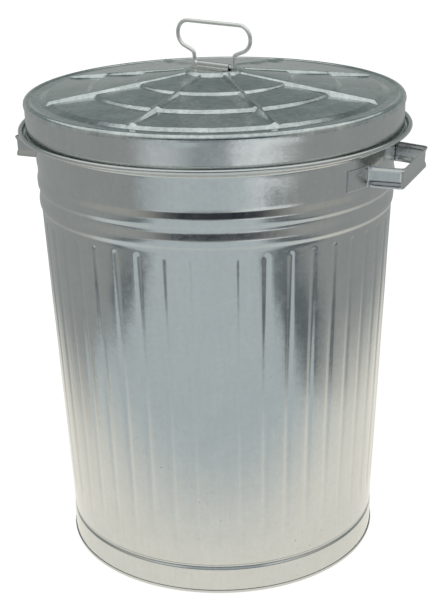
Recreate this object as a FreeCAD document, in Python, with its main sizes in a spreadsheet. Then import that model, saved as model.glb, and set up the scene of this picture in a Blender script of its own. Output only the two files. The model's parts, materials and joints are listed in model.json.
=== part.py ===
import FreeCAD, Part
import math
import os
import Sketcher

# A galvanized trash can: a tapered, fluted body with a curled rim and two strap handles, and a loose
# lid with pressed ridges and a folding wire loop. Lengths are millimetres and angles are degrees.
# The origin is the middle of the floor that the can stands on, +Z is up and the strap handles lie on X.

SIZES = [
    # sheet metal
    ("sheet_gauge", 0.7, "thickness of the body, bottom and lid sheet"),
    ("rest_gap", 0.2, "clearance between sheets that lie on one another"),
    ("lid_gap", 0.3, "clearance under the lid's skirt"),
    ("curl_gap", 0.3, "clearance round the wire inside the curled rim"),
    ("flat_angle", 50.0, "largest angle that one flat of a bend turns through"),
    # body wall
    ("floor_radius", 172.7, "outer wall radius, if its taper ran down to the floor"),
    ("neck_radius", 192.8, "outer wall radius at the neck"),
    ("neck_level", 466.0, "level where the wall ends and the shoulder starts"),
    ("kick_proud", 2.2, "how far the straight band at the foot stands outside the floor radius"),
    ("kick_height", 30.0, "top of the band at the foot"),
    ("groove_height", 4.0, "height of the ring groove above the foot band"),
    ("groove_depth", 1.6, "depth of that groove"),
    # flutes
    ("flute_count", 46, "number of pressed flutes"),
    ("flute_width", 10.5, "width of a flute at the neck's radius"),
    ("flute_depth", 0.9, "depth of a flute"),
    ("flute_turn", 1.9, "azimuth of the first flute"),
    ("flute_low", 54.0, "level where the flutes start to rise out of the plain wall"),
    ("flute_high", 388.0, "level where the flutes end"),
    ("flute_rise", 26.0, "length over which a flute deepens at its foot"),
    ("flute_cap", 6.0, "length of the steep end at a flute's head"),
    # ring beads
    ("bead_low", 393.5, "lower edge of the lower ring bead"),
    ("bead_height", 18.5, "height of one ring bead"),
    ("bead_pitch", 21.0, "distance between the two ring beads"),
    ("bead_proud", 1.3, "how far a ring bead stands out"),
    # mouth
    ("mouth_step", 12.3, "how far the mouth's inner face lies outside the neck's outer face"),
    ("mouth_level", 478.3, "level of the rim wire's middle"),
    ("shoulder_slope", 22.0, "slope of the shoulder that carries the lid"),
    ("shoulder_bend", 3.0, "bend radius at both ends of the shoulder"),
    ("rim_wire_radius", 1.3, "radius of the wire inside the curled rim"),
    ("curl_end", 122.0, "how far below the horizontal the curl runs on, on its outer side"),
    # side seam
    ("seam_width", 11.0, "width of the lapped side seam"),
    # bottom
    ("hem_height", 3.4, "height of the clinched hem at the floor"),
    ("pan_level", 13.0, "level of the bottom's underside"),
    ("pan_rib_radius", 128.0, "outer radius of the bottom's raised middle"),
    ("pan_rib_rise", 3.0, "height of that raised middle"),
    ("pan_slope", 4.0, "horizontal run of the steps in the bottom"),
    ("pan_corner", 6.0, "size of the corner between the bottom and its flange"),
    # strap handles
    ("handle_level", 445.7, "level of the strap handles"),
    ("strap_height", 21.6, "height of a handle's strap"),
    ("strap_gauge", 1.2, "thickness of a handle's strap"),
    ("strap_dish", 1.6, "how far the strap's web lies behind its edges"),
    ("web_top", 5.2, "upper edge of the strap's web above its middle"),
    ("web_foot", 2.5, "lower edge of the strap's web below its middle"),
    ("lip_top", 6.6, "upper edge of the strap's lower lip, below its middle"),
    ("grip_stand", 28.7, "how far the grip's outer face stands outside the neck's outer face"),
    ("grip_half", 49.5, "half the grip's outer length"),
    ("arm_half", 54.1, "half the distance between the arms' outer faces at the wall"),
    ("grip_bend", 3.5, "inner bend radius at the grip's ends"),
    ("foot_angle", 25.5, "angle from the handle's middle to a foot's outer end"),
    # lid
    ("lid_inset", 2.6, "clearance from the mouth in to the lid panel's folded edge"),
    ("lid_turn", -3.8, "how far the loose lid stands turned on the can"),
    ("skirt_height", 37.5, "height from the skirt's lower edge to the lid's top edge"),
    ("skirt_hem", 6.0, "height of the skirt's inward hem"),
    ("skirt_flange", 1.0, "width of the flat flange at the skirt's top"),
    ("edge_drop", 6.4, "height of the panel's folded edge"),
    ("edge_round", 4.6, "radius of the panel's rounded edge"),
    ("annulus_drop", 1.2, "depth of the flat ring inside the panel's edge"),
    ("edge_width", 9.0, "width of the rounded edge outside that ring"),
    # ridges and steps, with drops measured below the ridge line
    ("ridge_count", 8, "number of radial ridges"),
    ("crest_rise", 4.07425, "height of a ridge above the lid's edge, at the outer panel's end"),
    ("ridge_fall", 0.1233, "fall of a ridge for each millimetre outwards"),
    ("ridge_crest", 0.7, "half the width of a ridge's flat crest"),
    ("inner_flank", 2.4, "half the width of a ridge at the inner panel"),
    ("outer_flank", 5.2, "half the width of a ridge at the other two panels"),
    ("boss_radius", 28.0, "radius of the flat seat at the lid's middle"),
    ("boss_foot", 36.0, "radius of that seat's foot"),
    ("boss_proud", 1.6924, "height of the seat above the ridge line at the seat's edge"),
    ("middle_width", 48.6, "width of the middle stepped panel with the step inside it"),
    ("outer_width", 48.2, "width of the outer stepped panel with the step inside it"),
    ("annulus_width", 16.0, "width of the flat ring with the step inside it"),
    ("panel_drop", 0.66, "drop of a panel at its outer edge"),
    ("inner_drop", 1.0, "drop of the inner panel at the seat's foot"),
    ("middle_drop", 2.6, "drop of the middle panel at its inner edge"),
    ("outer_drop", 3.44, "drop of the outer panel at its inner edge"),
    ("step_slope", 32.0, "slope of the steps"),
    # clip and wire loop
    ("clip_turn", -11.4, "azimuth of the clip on the lid"),
    ("clip_length", 46.0, "length of the clip's flanges along the wire"),
    ("barrel_length", 41.0, "length of the clip's barrel"),
    ("clip_reach", 12.5, "half the clip's width across the wire"),
    ("clip_gauge", 0.9, "thickness of the clip"),
    ("loop_radius", 2.0, "radius of the loop's wire"),
    ("loop_gap", 0.3, "clearance round the wire inside the clip"),
    ("loop_rise", 3.0, "height of the wire's middle above the seat"),
    ("leg_half", 26.1, "half the distance between the loop's legs"),
    ("leg_bend", 4.0, "bend radius between the lower bar and a leg"),
    ("throat_bend", 6.0, "bend radius between a leg and its slant"),
    ("slant", 21.0, "slope of the slant that leads out to the shoulder"),
    ("shoulder_half", 34.0, "half the distance between the loop's shoulder centres"),
    ("shoulder_rise", 30.2, "height of the shoulder centres above the lower bar"),
    ("shoulder_radius", 13.9, "bend radius of the loop's shoulders"),
]

# What follows from the sizes, each from those above it.
DERIVED = [
    ("kick_radius", "{floor_radius} + {kick_proud}", "outer radius of the straight band at the foot"),
    ("mouth_radius", "{neck_radius} + {mouth_step}", "inner radius of the mouth above the shoulder"),
    ("grip_reach", "{neck_radius} + {grip_stand}", "distance from the can's axis to the grip's outer face"),
    ("lid_radius", "{mouth_radius} - {lid_inset}", "outer radius of the lid panel's folded edge"),
    ("annulus_edge", "{lid_radius} - {edge_width}", "outer radius of the lid's flat ring"),
    ("third_edge", "{annulus_edge} - {annulus_width}", "outer radius of the outer stepped panel"),
    ("second_edge", "{third_edge} - {outer_width}", "outer radius of the middle stepped panel"),
    ("first_edge", "{second_edge} - {middle_width}", "outer radius of the inner stepped panel"),
    ("apex_rise", "{crest_rise} + {ridge_fall} * {third_edge}", "height where the ridge lines meet"),
    ("boss_rise", "{apex_rise} - {ridge_fall} * {boss_radius} + {boss_proud}", "height of the seat"),
]

document = FreeCAD.newDocument("trash_can")
sheet = document.addObject("Spreadsheet::Sheet", "Sizes")
for row, (alias, number, meaning) in enumerate(SIZES, start=1):
    sheet.set(f"A{row}", meaning)
    sheet.set(f"B{row}", str(number))
    sheet.setAlias(f"B{row}", alias)
document.recompute()


def bound(text):
    """An expression in which every {alias} stands for a cell of the sheet, or for what follows from it."""
    for alias, expression, _ in reversed(DERIVED):
        text = text.replace("{" + alias + "}", "(" + expression + ")")
    for alias, _, _ in SIZES:
        text = text.replace("{" + alias + "}", "Sizes." + alias)
    return text


def size(alias):
    """A size from the sheet, or one that follows from it."""
    return float(sheet.evalExpression(bound("{" + alias + "}")))


# ---------------------------------------------------------------- helpers for profiles


def on_section(radius, level):
    """A point of a section in the XZ plane."""
    return FreeCAD.Vector(radius, 0, level)


def on_circle(centre, radius, angle):
    """A point of a circle in the XZ plane, with the angle counted up from the horizontal."""
    turn = math.radians(angle)
    return centre + FreeCAD.Vector(radius * math.cos(turn), 0, radius * math.sin(turn))


def chain(start, *steps):
    """Edges through the steps: a point for a line, or a pair (point on the way, end) for a bend.

    A bend is drawn as narrow flats, as a press brake or a rolling die leaves it.
    """
    corners = [start]
    for step in steps:
        if isinstance(step, tuple):
            corners += bend_flats(corners[-1], *step)
        else:
            corners.append(step)
    return [Part.LineSegment(*pair).toShape() for pair in zip(corners, corners[1:])]


def bend_flats(start, way, end):
    """The corners of the flats that stand for an arc through three points."""
    arc = Part.Arc(start, way, end).toShape()
    turn = math.degrees(arc.LastParameter - arc.FirstParameter)
    flats = max(3, math.ceil(turn / size("flat_angle")))
    corners = arc.discretize(flats + 1)
    if corners[0].distanceToPoint(start) > corners[-1].distanceToPoint(start):
        corners.reverse()
    return corners[1:]


def sheet_section(edges, gauge):
    """The face between a chain of edges and the same chain moved aside by the gauge."""
    path = Part.Wire(edges)
    aside = path.makeOffset2D(gauge, join=2, fill=False, openResult=True)
    ends = [path.OrderedVertexes[0].Point, path.OrderedVertexes[-1].Point]
    far = [aside.OrderedVertexes[0].Point, aside.OrderedVertexes[-1].Point]
    if far[0].distanceToPoint(ends[0]) > far[1].distanceToPoint(ends[0]):
        far.reverse()
    caps = [Part.LineSegment(near, other).toShape() for near, other in zip(ends, far)]
    outline = Part.Wire(Part.__sortEdges__(path.Edges + aside.Edges + caps))
    return Part.Face(outline)


def revolved(face, start=0.0, angle=360.0):
    """A face of the XZ plane turned about the can's axis."""
    origin = FreeCAD.Vector(0, 0, 0)
    axis = FreeCAD.Vector(0, 0, 1)
    placed = face.copy()
    placed.rotate(origin, axis, start)
    return placed.revolve(origin, axis, angle)


def shape_feature(name, shape, placement):
    """A sub-part whose form is set in code."""
    feature = document.addObject("Part::Feature", name)
    feature.Shape = shape
    feature.Placement = placement
    feature.Label = name
    return feature


def origin_plane(body, role):
    """One of a body's own origin planes or axes."""
    return next(item for item in body.Origin.OriginFeatures if item.Role == role)


def new_sketch(body, name, role):
    """A sketch on one of the body's origin planes."""
    sketch = body.newObject("Sketcher::SketchObject", name)
    sketch.AttachmentSupport = [(origin_plane(body, role), "")]
    sketch.MapMode = "FlatFace"
    return sketch


def closed_profile(sketch, corners, arcs=None):
    """A closed outline whose corners' places, pairs of expressions, are bound to the sheet.

    arcs maps the number of a side to the centre, the radius and whether the side runs
    anticlockwise, for every side that is an arc.
    """
    arcs = arcs or {}
    count = len(corners)
    points = [FreeCAD.Vector(*read(sketch, corner), 0) for corner in corners]
    ends = []
    for number, start in enumerate(points):
        finish = points[(number + 1) % count]
        if number not in arcs:
            sketch.addGeometry(Part.LineSegment(start, finish), False)
            ends.append((1, 2))
            continue
        centre, radius, anticlockwise = arcs[number]
        middle = FreeCAD.Vector(*read(sketch, centre), 0)
        turns = [math.atan2((point - middle).y, (point - middle).x) for point in (start, finish)]
        if not anticlockwise:
            turns.reverse()
        ring = Part.Circle(middle, FreeCAD.Vector(0, 0, 1), read(sketch, [radius])[0])
        sketch.addGeometry(Part.ArcOfCircle(ring, *turns), False)
        ends.append((1, 2) if anticlockwise else (2, 1))
    for number, corner in enumerate(corners):
        before = (number - 1) % count
        sketch.addConstraint(Sketcher.Constraint("Coincident", before, ends[before][1], number, ends[number][0]))
        place_corner(sketch, number, ends[number][0], corner)
    for number, (centre, _, _) in arcs.items():
        level = read(sketch, centre)[1]
        tie(sketch, Sketcher.Constraint("DistanceY", -1, 1, number, 3, level), centre[1])


def read(sketch, texts):
    """The present values of some expressions."""
    return [float(sketch.evalExpression(bound(text))) for text in texts]


def tie(sketch, constraint, text):
    """Adds a constraint whose value is bound to the sheet."""
    index = sketch.addConstraint(constraint)
    sketch.setExpression(f"Constraints[{index}]", bound(text))


def place_corner(sketch, number, which, corner):
    """Ties one end of a side to its two expressions."""
    for kind, text in zip(("DistanceX", "DistanceY"), corner):
        tie(sketch, Sketcher.Constraint(kind, -1, 1, number, which, read(sketch, [text])[0]), text)


# ---------------------------------------------------------------- the wall's line


def wall_radius(level):
    """The outer radius of the plain wall at a level."""
    rise = level / size("neck_level")
    return size("floor_radius") + (size("neck_radius") - size("floor_radius")) * rise


def wall_inset():
    """The sheet's thickness measured level through the tapered wall."""
    return size("sheet_gauge") / math.cos(math.atan2(size("neck_radius") - size("floor_radius"),
                                                     size("neck_level")))


def wall_point(level, proud=0.0):
    """A point of the plain wall's outer face, or one that stands proud of it."""
    return on_section(wall_radius(level) + proud, level)


def groove_steps():
    """From the top of the foot band through the ring groove to the plain wall."""
    low = size("kick_height")
    high = low + size("groove_height")
    bottom = wall_point((low + high) / 2, -size("groove_depth"))
    return [(bottom, wall_point(high))]


def bead_steps():
    """Up the wall through the two ring beads to the neck."""
    steps = []
    for number in range(2):
        low = size("bead_low") + number * size("bead_pitch")
        high = low + size("bead_height")
        steps.append(wall_point(low))
        steps.append((wall_point((low + high) / 2, size("bead_proud")), wall_point(high)))
    steps.append(wall_point(size("neck_level")))
    return steps


def shoulder_steps():
    """From the neck out over the shoulder, up the mouth and round the rim wire."""
    slope = size("shoulder_slope")
    bend = size("shoulder_bend")
    neck = on_section(size("neck_radius"), size("neck_level"))
    mouth = size("mouth_radius") + size("sheet_gauge")
    first = neck + FreeCAD.Vector(bend, 0, 0)
    first_end = on_circle(first, bend, 90 + slope)
    rise = (mouth - first_end.x - bend * (1 - math.sin(math.radians(slope)))) * math.tan(math.radians(slope))
    second_start = first_end + FreeCAD.Vector(rise / math.tan(math.radians(slope)), 0, rise)
    second = second_start - on_circle(FreeCAD.Vector(), bend, slope - 90)
    wire = on_section(size("mouth_radius") + curl_radius(), size("mouth_level"))
    inside = size("rim_wire_radius") + size("curl_gap")
    middle = (180 - size("curl_end")) / 2
    return [
        (on_circle(first, bend, 135 + slope / 2), first_end),
        second_start,
        (on_circle(second, bend, (slope - 90) / 2), second + FreeCAD.Vector(bend, 0, 0)),
        on_circle(wire, inside, 180),
        (on_circle(wire, inside, middle), on_circle(wire, inside, -size("curl_end"))),
    ]


def curl_radius():
    """The outer radius of the curled rim's section."""
    return size("rim_wire_radius") + size("curl_gap") + size("sheet_gauge")


def shoulder_top(radius):
    """The level of the shoulder's upper face at a radius on its straight part."""
    slope = math.radians(size("shoulder_slope"))
    bend = size("shoulder_bend")
    end = on_circle(on_section(size("neck_radius") + bend, size("neck_level")), bend, 90 + size("shoulder_slope"))
    return end.z + (radius - end.x) * math.tan(slope) + size("sheet_gauge") / math.cos(slope)


# ---------------------------------------------------------------- body


def flute_pitch():
    """The angle from one flute to the next."""
    return 360 / size("flute_count")


def fluted_ring(level, inset, share):
    """The wall's outline at a level, with its flutes pressed in by a share of their depth."""
    half = math.degrees(size("flute_width") / 2 / size("neck_radius"))
    radius = wall_radius(level) - inset
    bottom = radius - size("flute_depth") * share

    def spot(at, angle):
        turn = math.radians(angle)
        return FreeCAD.Vector(at * math.cos(turn), at * math.sin(turn), level)

    edges = []
    for number in range(round(size("flute_count"))):
        middle = size("flute_turn") + number * flute_pitch()
        after = middle + flute_pitch()
        edges.append(Part.Arc(spot(radius, middle - half), spot(bottom, middle),
                              spot(radius, middle + half)).toShape())
        edges.append(Part.Arc(spot(radius, middle + half), spot(radius, middle + flute_pitch() / 2),
                              spot(radius, after - half)).toShape())
    return Part.Wire(edges)


def fluted_wall():
    """The stretch of wall with the flutes, open at both ends."""
    low = size("flute_low")
    high = size("flute_high")
    stations = [(low, 0), (low + size("flute_rise"), 1), (high - size("flute_cap"), 1), (high, 0)]
    outside = Part.makeLoft([fluted_ring(level, 0, share) for level, share in stations], True, True)
    inside = Part.makeLoft([fluted_ring(level, wall_inset(), share) for level, share in stations],
                           True, True)
    return outside.cut(inside)


def side_seam():
    """The lapped seam up the back of the wall, in the panel between two flutes."""
    number = round((90 - size("flute_turn")) / flute_pitch() - 0.5)
    middle = size("flute_turn") + (number + 0.5) * flute_pitch()
    width = math.degrees(size("seam_width") / size("neck_radius"))
    gauge = size("sheet_gauge")
    low = size("hem_height") + gauge
    lap = chain(
        on_section(size("kick_radius"), low),
        on_section(size("kick_radius"), size("kick_height")),
        *groove_steps(),
        *bead_steps(),
    )
    proud = Part.Wire(lap).translated(FreeCAD.Vector(gauge, 0, 0))
    sunk = Part.Wire(lap).translated(FreeCAD.Vector(-gauge / 2, 0, 0))
    ends = [Part.LineSegment(sunk.OrderedVertexes[at].Point, proud.OrderedVertexes[at].Point).toShape()
            for at in (0, -1)]
    face = Part.Face(Part.Wire(Part.__sortEdges__(proud.Edges + sunk.Edges + ends)))
    return revolved(face, middle - width / 2, width)


def body_shell():
    """The body: foot band, groove, fluted wall, ring beads, shoulder and curled rim."""
    gauge = size("sheet_gauge")
    low = size("flute_low")
    high = size("flute_high")
    spare = 4 * gauge
    foot = chain(
        on_section(size("kick_radius"), gauge + size("rest_gap")),
        on_section(size("kick_radius"), size("kick_height")),
        *groove_steps(),
        wall_point(low + spare),
    )
    head = chain(wall_point(high - spare), *bead_steps(), *shoulder_steps())
    reach = 2 * size("mouth_radius")
    fluted_band = Part.makePlane(high - low, reach, on_section(0, low), FreeCAD.Vector(0, 1, 0))
    rings = [revolved(sheet_section(edges, gauge).cut(fluted_band)) for edges in (foot, head)]
    return fluted_wall().fuse(rings + [side_seam()])


shape_feature("body_shell", body_shell(), FreeCAD.Placement())


def rim_wire():
    """The ring of wire that stiffens the rim, with its round section drawn as an octagon."""
    body = document.addObject("PartDesign::Body", "rim_wire")
    body.Label = "rim_wire"
    section = new_sketch(body, "wire_ring_section", "XZ_Plane")
    ring = "{mouth_radius} + {sheet_gauge} + {curl_gap} + {rim_wire_radius}"
    closed_profile(section, [
        (f"{ring} + {{rim_wire_radius}} * cos({turn} deg)", f"{{rim_wire_radius}} * sin({turn} deg)")
        for turn in range(0, 360, 45)
    ])
    turned = body.newObject("PartDesign::Revolution", "ring_turned")
    turned.Profile = section
    turned.ReferenceAxis = (section, ["V_Axis"])
    turned.Angle = 360
    body.Placement.Base.z = size("mouth_level")


rim_wire()


def bottom_pan():
    """The pressed bottom, with its edge folded round the wall's lower edge."""
    body = document.addObject("PartDesign::Body", "bottom_pan")
    body.Label = "bottom_pan"
    outline = new_sketch(body, "pan_section", "XZ_Plane")
    flange = "{kick_radius} - {sheet_gauge} - {rest_gap}"
    hem = "{kick_radius} + {rest_gap} + {sheet_gauge}"
    level = "{pan_level}"
    closed_profile(outline, [
        ("0", f"{level} + {{pan_rib_rise}}"),
        ("{pan_rib_radius} - {pan_slope}", f"{level} + {{pan_rib_rise}}"),
        ("{pan_rib_radius}", level),
        (f"{flange} - {{sheet_gauge}} - {{pan_corner}}", level),
        (f"{flange} - {{sheet_gauge}}", f"{level} - {{pan_corner}}"),
        (f"{flange} - {{sheet_gauge}}", "0"),
        (f"{hem} - {{sheet_gauge}} / 2", "0"),
        (hem, "{sheet_gauge} / 2"),
        (hem, "{hem_height}"),
        ("{kick_radius} + {rest_gap}", "{hem_height}"),
        ("{kick_radius} + {rest_gap}", "{sheet_gauge}"),
        (flange, "{sheet_gauge}"),
        (flange, f"{level} - {{pan_corner}} + {{sheet_gauge}} / 2"),
        (f"{flange} - {{pan_corner}} - {{sheet_gauge}} / 2", f"{level} + {{sheet_gauge}}"),
        ("{pan_rib_radius} + {sheet_gauge} / 2", f"{level} + {{sheet_gauge}}"),
        ("{pan_rib_radius} - {pan_slope} + {sheet_gauge} / 2",
         f"{level} + {{pan_rib_rise}} + {{sheet_gauge}}"),
        ("0", f"{level} + {{pan_rib_rise}} + {{sheet_gauge}}"),
    ])
    turned = body.newObject("PartDesign::Revolution", "pan_turned")
    turned.Profile = outline
    turned.ReferenceAxis = (outline, ["V_Axis"])
    turned.Angle = 360
    return body


bottom_pan()


# ---------------------------------------------------------------- strap handles


def strap_handle(name, azimuth):
    """A pressed strap with a channelled grip and two flat feet that lie on the wall."""
    body = document.addObject("PartDesign::Body", name)
    body.Label = name
    wall = wall_radius(size("handle_level"))
    seat_radius = "({floor_radius} + ({neck_radius} - {floor_radius}) * {handle_level} / {neck_level})"
    foot_radius = f"({seat_radius} + {{rest_gap}})"
    proud = "{strap_gauge} + {strap_dish}"

    path = new_sketch(body, "strap_path", "XY_Plane")
    grip = size("grip_reach") - size("strap_gauge") - size("strap_dish")
    half = size("grip_half") - size("strap_gauge") - size("strap_dish")
    root_half = size("arm_half") - size("strap_gauge") - size("strap_dish")
    bend = size("grip_bend")
    root = FreeCAD.Vector(math.sqrt(wall ** 2 - size("arm_half") ** 2) - 4 * size("rest_gap"), root_half, 0)
    centre = FreeCAD.Vector(grip - bend, half - bend, 0)
    span = root.distanceToPoint(centre)
    heading = math.atan2(centre.y - root.y, centre.x - root.x) + math.asin(bend / span)
    along = math.sqrt(span ** 2 - bend ** 2)
    arm_end = root + FreeCAD.Vector(math.cos(heading), math.sin(heading), 0) * along
    bend_end = centre + FreeCAD.Vector(bend, 0, 0)
    corner = Part.Circle(centre, FreeCAD.Vector(0, 0, 1), bend)
    path.addGeometry(Part.LineSegment(root, arm_end), False)
    path.addGeometry(Part.ArcOfCircle(corner, 0, heading + math.pi / 2), False)
    path.addGeometry(Part.LineSegment(bend_end, FreeCAD.Vector(grip, 0, 0)), False)
    path.addConstraint(Sketcher.Constraint("Tangent", 0, 2, 1, 2))
    path.addConstraint(Sketcher.Constraint("Tangent", 1, 1, 2, 1))
    path.addConstraint(Sketcher.Constraint("Vertical", 2))
    path.addConstraint(Sketcher.Constraint("PointOnObject", 2, 2, -1))
    ties = [
        (Sketcher.Constraint("Radius", 1, bend), "{grip_bend}"),
        (Sketcher.Constraint("DistanceX", -1, 1, 2, 2, grip), f"{{grip_reach}} - ({proud})"),
        (Sketcher.Constraint("DistanceY", -1, 1, 0, 1, root.y), f"{{arm_half}} - ({proud})"),
        (Sketcher.Constraint("DistanceX", -1, 1, 0, 1, root.x),
         f"sqrt({seat_radius}^2 - {{arm_half}}^2) - 4 * {{rest_gap}}"),
        (Sketcher.Constraint("DistanceY", -1, 1, 1, 1, half - bend),
         f"{{grip_half}} - ({proud}) - {{grip_bend}}"),
    ]
    for constraint, text in ties:
        tie(path, constraint, text)

    section = new_sketch(body, "strap_section", "XZ_Plane")
    closed_profile(section, strap_corners())
    bar = body.newObject("PartDesign::AdditivePipe", "strap_bar")
    bar.Profile = section
    bar.Spine = (path, ["Edge1", "Edge2", "Edge3"])

    plate = new_sketch(body, "foot_section", "XZ_Plane")
    plate.AttachmentOffset = FreeCAD.Placement(
        FreeCAD.Vector(), FreeCAD.Rotation(FreeCAD.Vector(0, 1, 0), foot_start()))
    closed_profile(plate, [
        (foot_radius, "-{strap_height} / 2"),
        (foot_radius + " + {strap_gauge}", "-{strap_height} / 2"),
        (foot_radius + " + {strap_gauge}", "{strap_height} / 2"),
        (foot_radius, "{strap_height} / 2"),
    ])
    foot = body.newObject("PartDesign::Revolution", "strap_foot")
    foot.Profile = plate
    foot.ReferenceAxis = (plate, ["V_Axis"])
    foot.Angle = size("foot_angle") - foot_start()

    both = body.newObject("PartDesign::Mirrored", "both_sides")
    both.Originals = [bar, foot]
    both.MirrorPlane = (origin_plane(body, "XZ_Plane"), [""])
    body.Tip = both

    seat = new_sketch(body, "wall_outline", "XY_Plane")
    seat.addGeometry(Part.Circle(FreeCAD.Vector(), FreeCAD.Vector(0, 0, 1), wall), False)
    seat.addConstraint(Sketcher.Constraint("Coincident", 0, 3, -1, 1))
    tie(seat, Sketcher.Constraint("Radius", 0, wall), foot_radius)
    clear = body.newObject("PartDesign::Pocket", "wall_clearance")
    clear.Profile = seat
    clear.Type = 1
    clear.Midplane = True
    body.Tip = clear

    taper = math.degrees(math.atan2(size("neck_radius") - size("floor_radius"), size("neck_level")))
    at_wall = FreeCAD.Placement(FreeCAD.Vector(wall, 0, size("handle_level")),
                                FreeCAD.Rotation(FreeCAD.Vector(0, 1, 0), taper))
    from_axis = FreeCAD.Placement(FreeCAD.Vector(-wall, 0, 0), FreeCAD.Rotation())
    round_can = FreeCAD.Placement(FreeCAD.Vector(), FreeCAD.Rotation(FreeCAD.Vector(0, 0, 1), azimuth))
    body.Placement = round_can * at_wall * from_axis
    return body


def foot_start():
    """The angle from the handle's middle to the inner end of a foot, at the arm's inner face."""
    wall = wall_radius(size("handle_level"))
    return math.degrees(math.asin((size("arm_half") - size("strap_gauge") - size("strap_dish")) / wall))


def strap_corners():
    """The strap's section at the middle of the grip: two edges that stand out and a web behind them."""
    web = "{grip_reach} - {strap_dish}"
    edge = "{grip_reach}"
    half = "{strap_height} / 2"
    return [
        (web, "{web_top}"),
        (web, "-{web_foot}"),
        (edge, "-{lip_top}"),
        (edge, "-" + half),
        (edge + " - {strap_gauge}", "-" + half),
        (edge + " - {strap_gauge}", "-{lip_top} - {strap_gauge} / 4"),
        (web + " - {strap_gauge}", "-{web_foot} - {strap_gauge} / 4"),
        (web + " - {strap_gauge}", "{web_top} + {strap_gauge} / 4"),
        (edge + " - {strap_gauge}", half),
        (edge, half),
    ]


strap_handle("handle_right", 0)
strap_handle("handle_left", 180)


# ---------------------------------------------------------------- lid


def skirt_radius():
    """The outer radius of the lid's skirt, just inside the panel's folded edge."""
    return size("lid_radius") - size("sheet_gauge") - size("rest_gap")


def skirt_level():
    """The level of the skirt's lower edge, a clearance above the shoulder."""
    return shoulder_top(skirt_radius() - size("sheet_gauge") / 2) + size("lid_gap")


def lid_level():
    """The level of the lid's top edge, with its skirt resting on the shoulder."""
    return skirt_level() + size("skirt_height")


def ridge_line(radius):
    """The level of the ridges' crests at a radius."""
    return lid_level() + size("apex_rise") - size("ridge_fall") * radius


def step_run(drop_in, drop_out):
    """The horizontal run of a step that falls from one panel's drop to the next one's."""
    slope = math.tan(math.radians(size("step_slope")))
    return (drop_out - drop_in) / (slope - size("ridge_fall"))


def panel_stations():
    """Radius, drop below the ridge line and ridge half width, from the lid's middle outwards."""
    end_drop = size("panel_drop")
    stations = [
        (size("boss_foot"), size("inner_drop"), size("inner_flank")),
        (size("first_edge"), end_drop, size("inner_flank")),
    ]
    rows = [("first_edge", "second_edge", "middle_drop"), ("second_edge", "third_edge", "outer_drop")]
    for inner, outer, drop in rows:
        start = size(inner) + step_run(end_drop, size(drop))
        stations.append((start, size(drop), size("outer_flank")))
        stations.append((size(outer), end_drop, size("outer_flank")))
    return stations


def annulus_level():
    """The level of the flat ring inside the lid's edge."""
    return lid_level() - size("annulus_drop")


def panel_foot():
    """The radius where the outermost step reaches the flat ring."""
    fall = ridge_line(size("third_edge")) - size("panel_drop") - annulus_level()
    return size("third_edge") + fall / math.tan(math.radians(size("step_slope")))


def ridge():
    """One radial ridge along X, from the seat to the flat ring, with its sides run on downwards."""
    root = 0.6
    rows = [(size("boss_radius") / 2, size("inner_drop"), size("inner_flank"))] + panel_stations()
    sections = []
    for radius, drop, flank in rows:
        crest = ridge_line(radius)
        half = size("ridge_crest") + (flank - size("ridge_crest")) * (drop + root) / drop
        sections.append(ridge_section(radius, crest, half, crest - drop - root))
    sections.append(ridge_section(panel_foot(), annulus_level() + root / 10, size("outer_flank"),
                                  annulus_level() - root))
    return Part.makeLoft(sections, True, True)


def ridge_section(radius, crest, half, foot):
    """The ridge's outline across its line at a radius."""
    top = size("ridge_crest")
    corners = [(-half, foot), (-top, crest), (top, crest), (half, foot), (-half, foot)]
    return Part.makePolygon([FreeCAD.Vector(radius, across, level) for across, level in corners])


def lid_panel():
    """The pressed top: a seat, ridges with stepped panels between them, and a folded edge."""
    gauge = size("sheet_gauge")
    edge = lid_level()
    floor = edge - 2 * size("edge_drop")
    outer = size("annulus_edge") - size("edge_round") / 2
    outline = [on_section(0, floor), on_section(0, edge + size("boss_rise")),
               on_section(size("boss_radius"), edge + size("boss_rise"))]
    outline += [on_section(radius, ridge_line(radius) - drop) for radius, drop, _ in panel_stations()]
    outline += [on_section(panel_foot(), annulus_level()), on_section(outer, annulus_level()),
                on_section(outer, floor), on_section(0, floor)]
    stepped = revolved(Part.Face(Part.makePolygon(outline)))
    spoke = ridge()
    spokes = []
    for number in range(round(size("ridge_count"))):
        turned = spoke.copy()
        turned.rotate(FreeCAD.Vector(), FreeCAD.Vector(0, 0, 1), number * 360 / size("ridge_count"))
        spokes.append(turned)
    solid = stepped.fuse(spokes)
    skin = solid.cut(solid.translated(FreeCAD.Vector(0, 0, -gauge)))
    return skin.fuse(revolved(sheet_section(lid_edge(outer), gauge)))


def lid_edge(inner):
    """The panel's rim, seen on its upper face: up outside, round the edge and in over the flat ring."""
    top = lid_level()
    round_radius = size("edge_round")
    centre = on_section(size("lid_radius") - round_radius, top - round_radius)
    swell = (size("annulus_edge") + centre.x) / 2
    return chain(
        on_section(size("lid_radius"), top - size("edge_drop")),
        on_circle(centre, round_radius, 0),
        (on_circle(centre, round_radius, 45), on_circle(centre, round_radius, 90)),
        on_section(swell, top - size("annulus_drop") / 4),
        on_section(size("annulus_edge"), annulus_level()),
        on_section(inner, annulus_level()),
    )


def turned_and_lifted(turn, level):
    """A placement turned about the can's axis and lifted to a level."""
    return FreeCAD.Placement(FreeCAD.Vector(0, 0, level),
                             FreeCAD.Rotation(FreeCAD.Vector(0, 0, 1), turn))


shape_feature("lid_panel", lid_panel(), turned_and_lifted(size("lid_turn"), 0))


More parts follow.
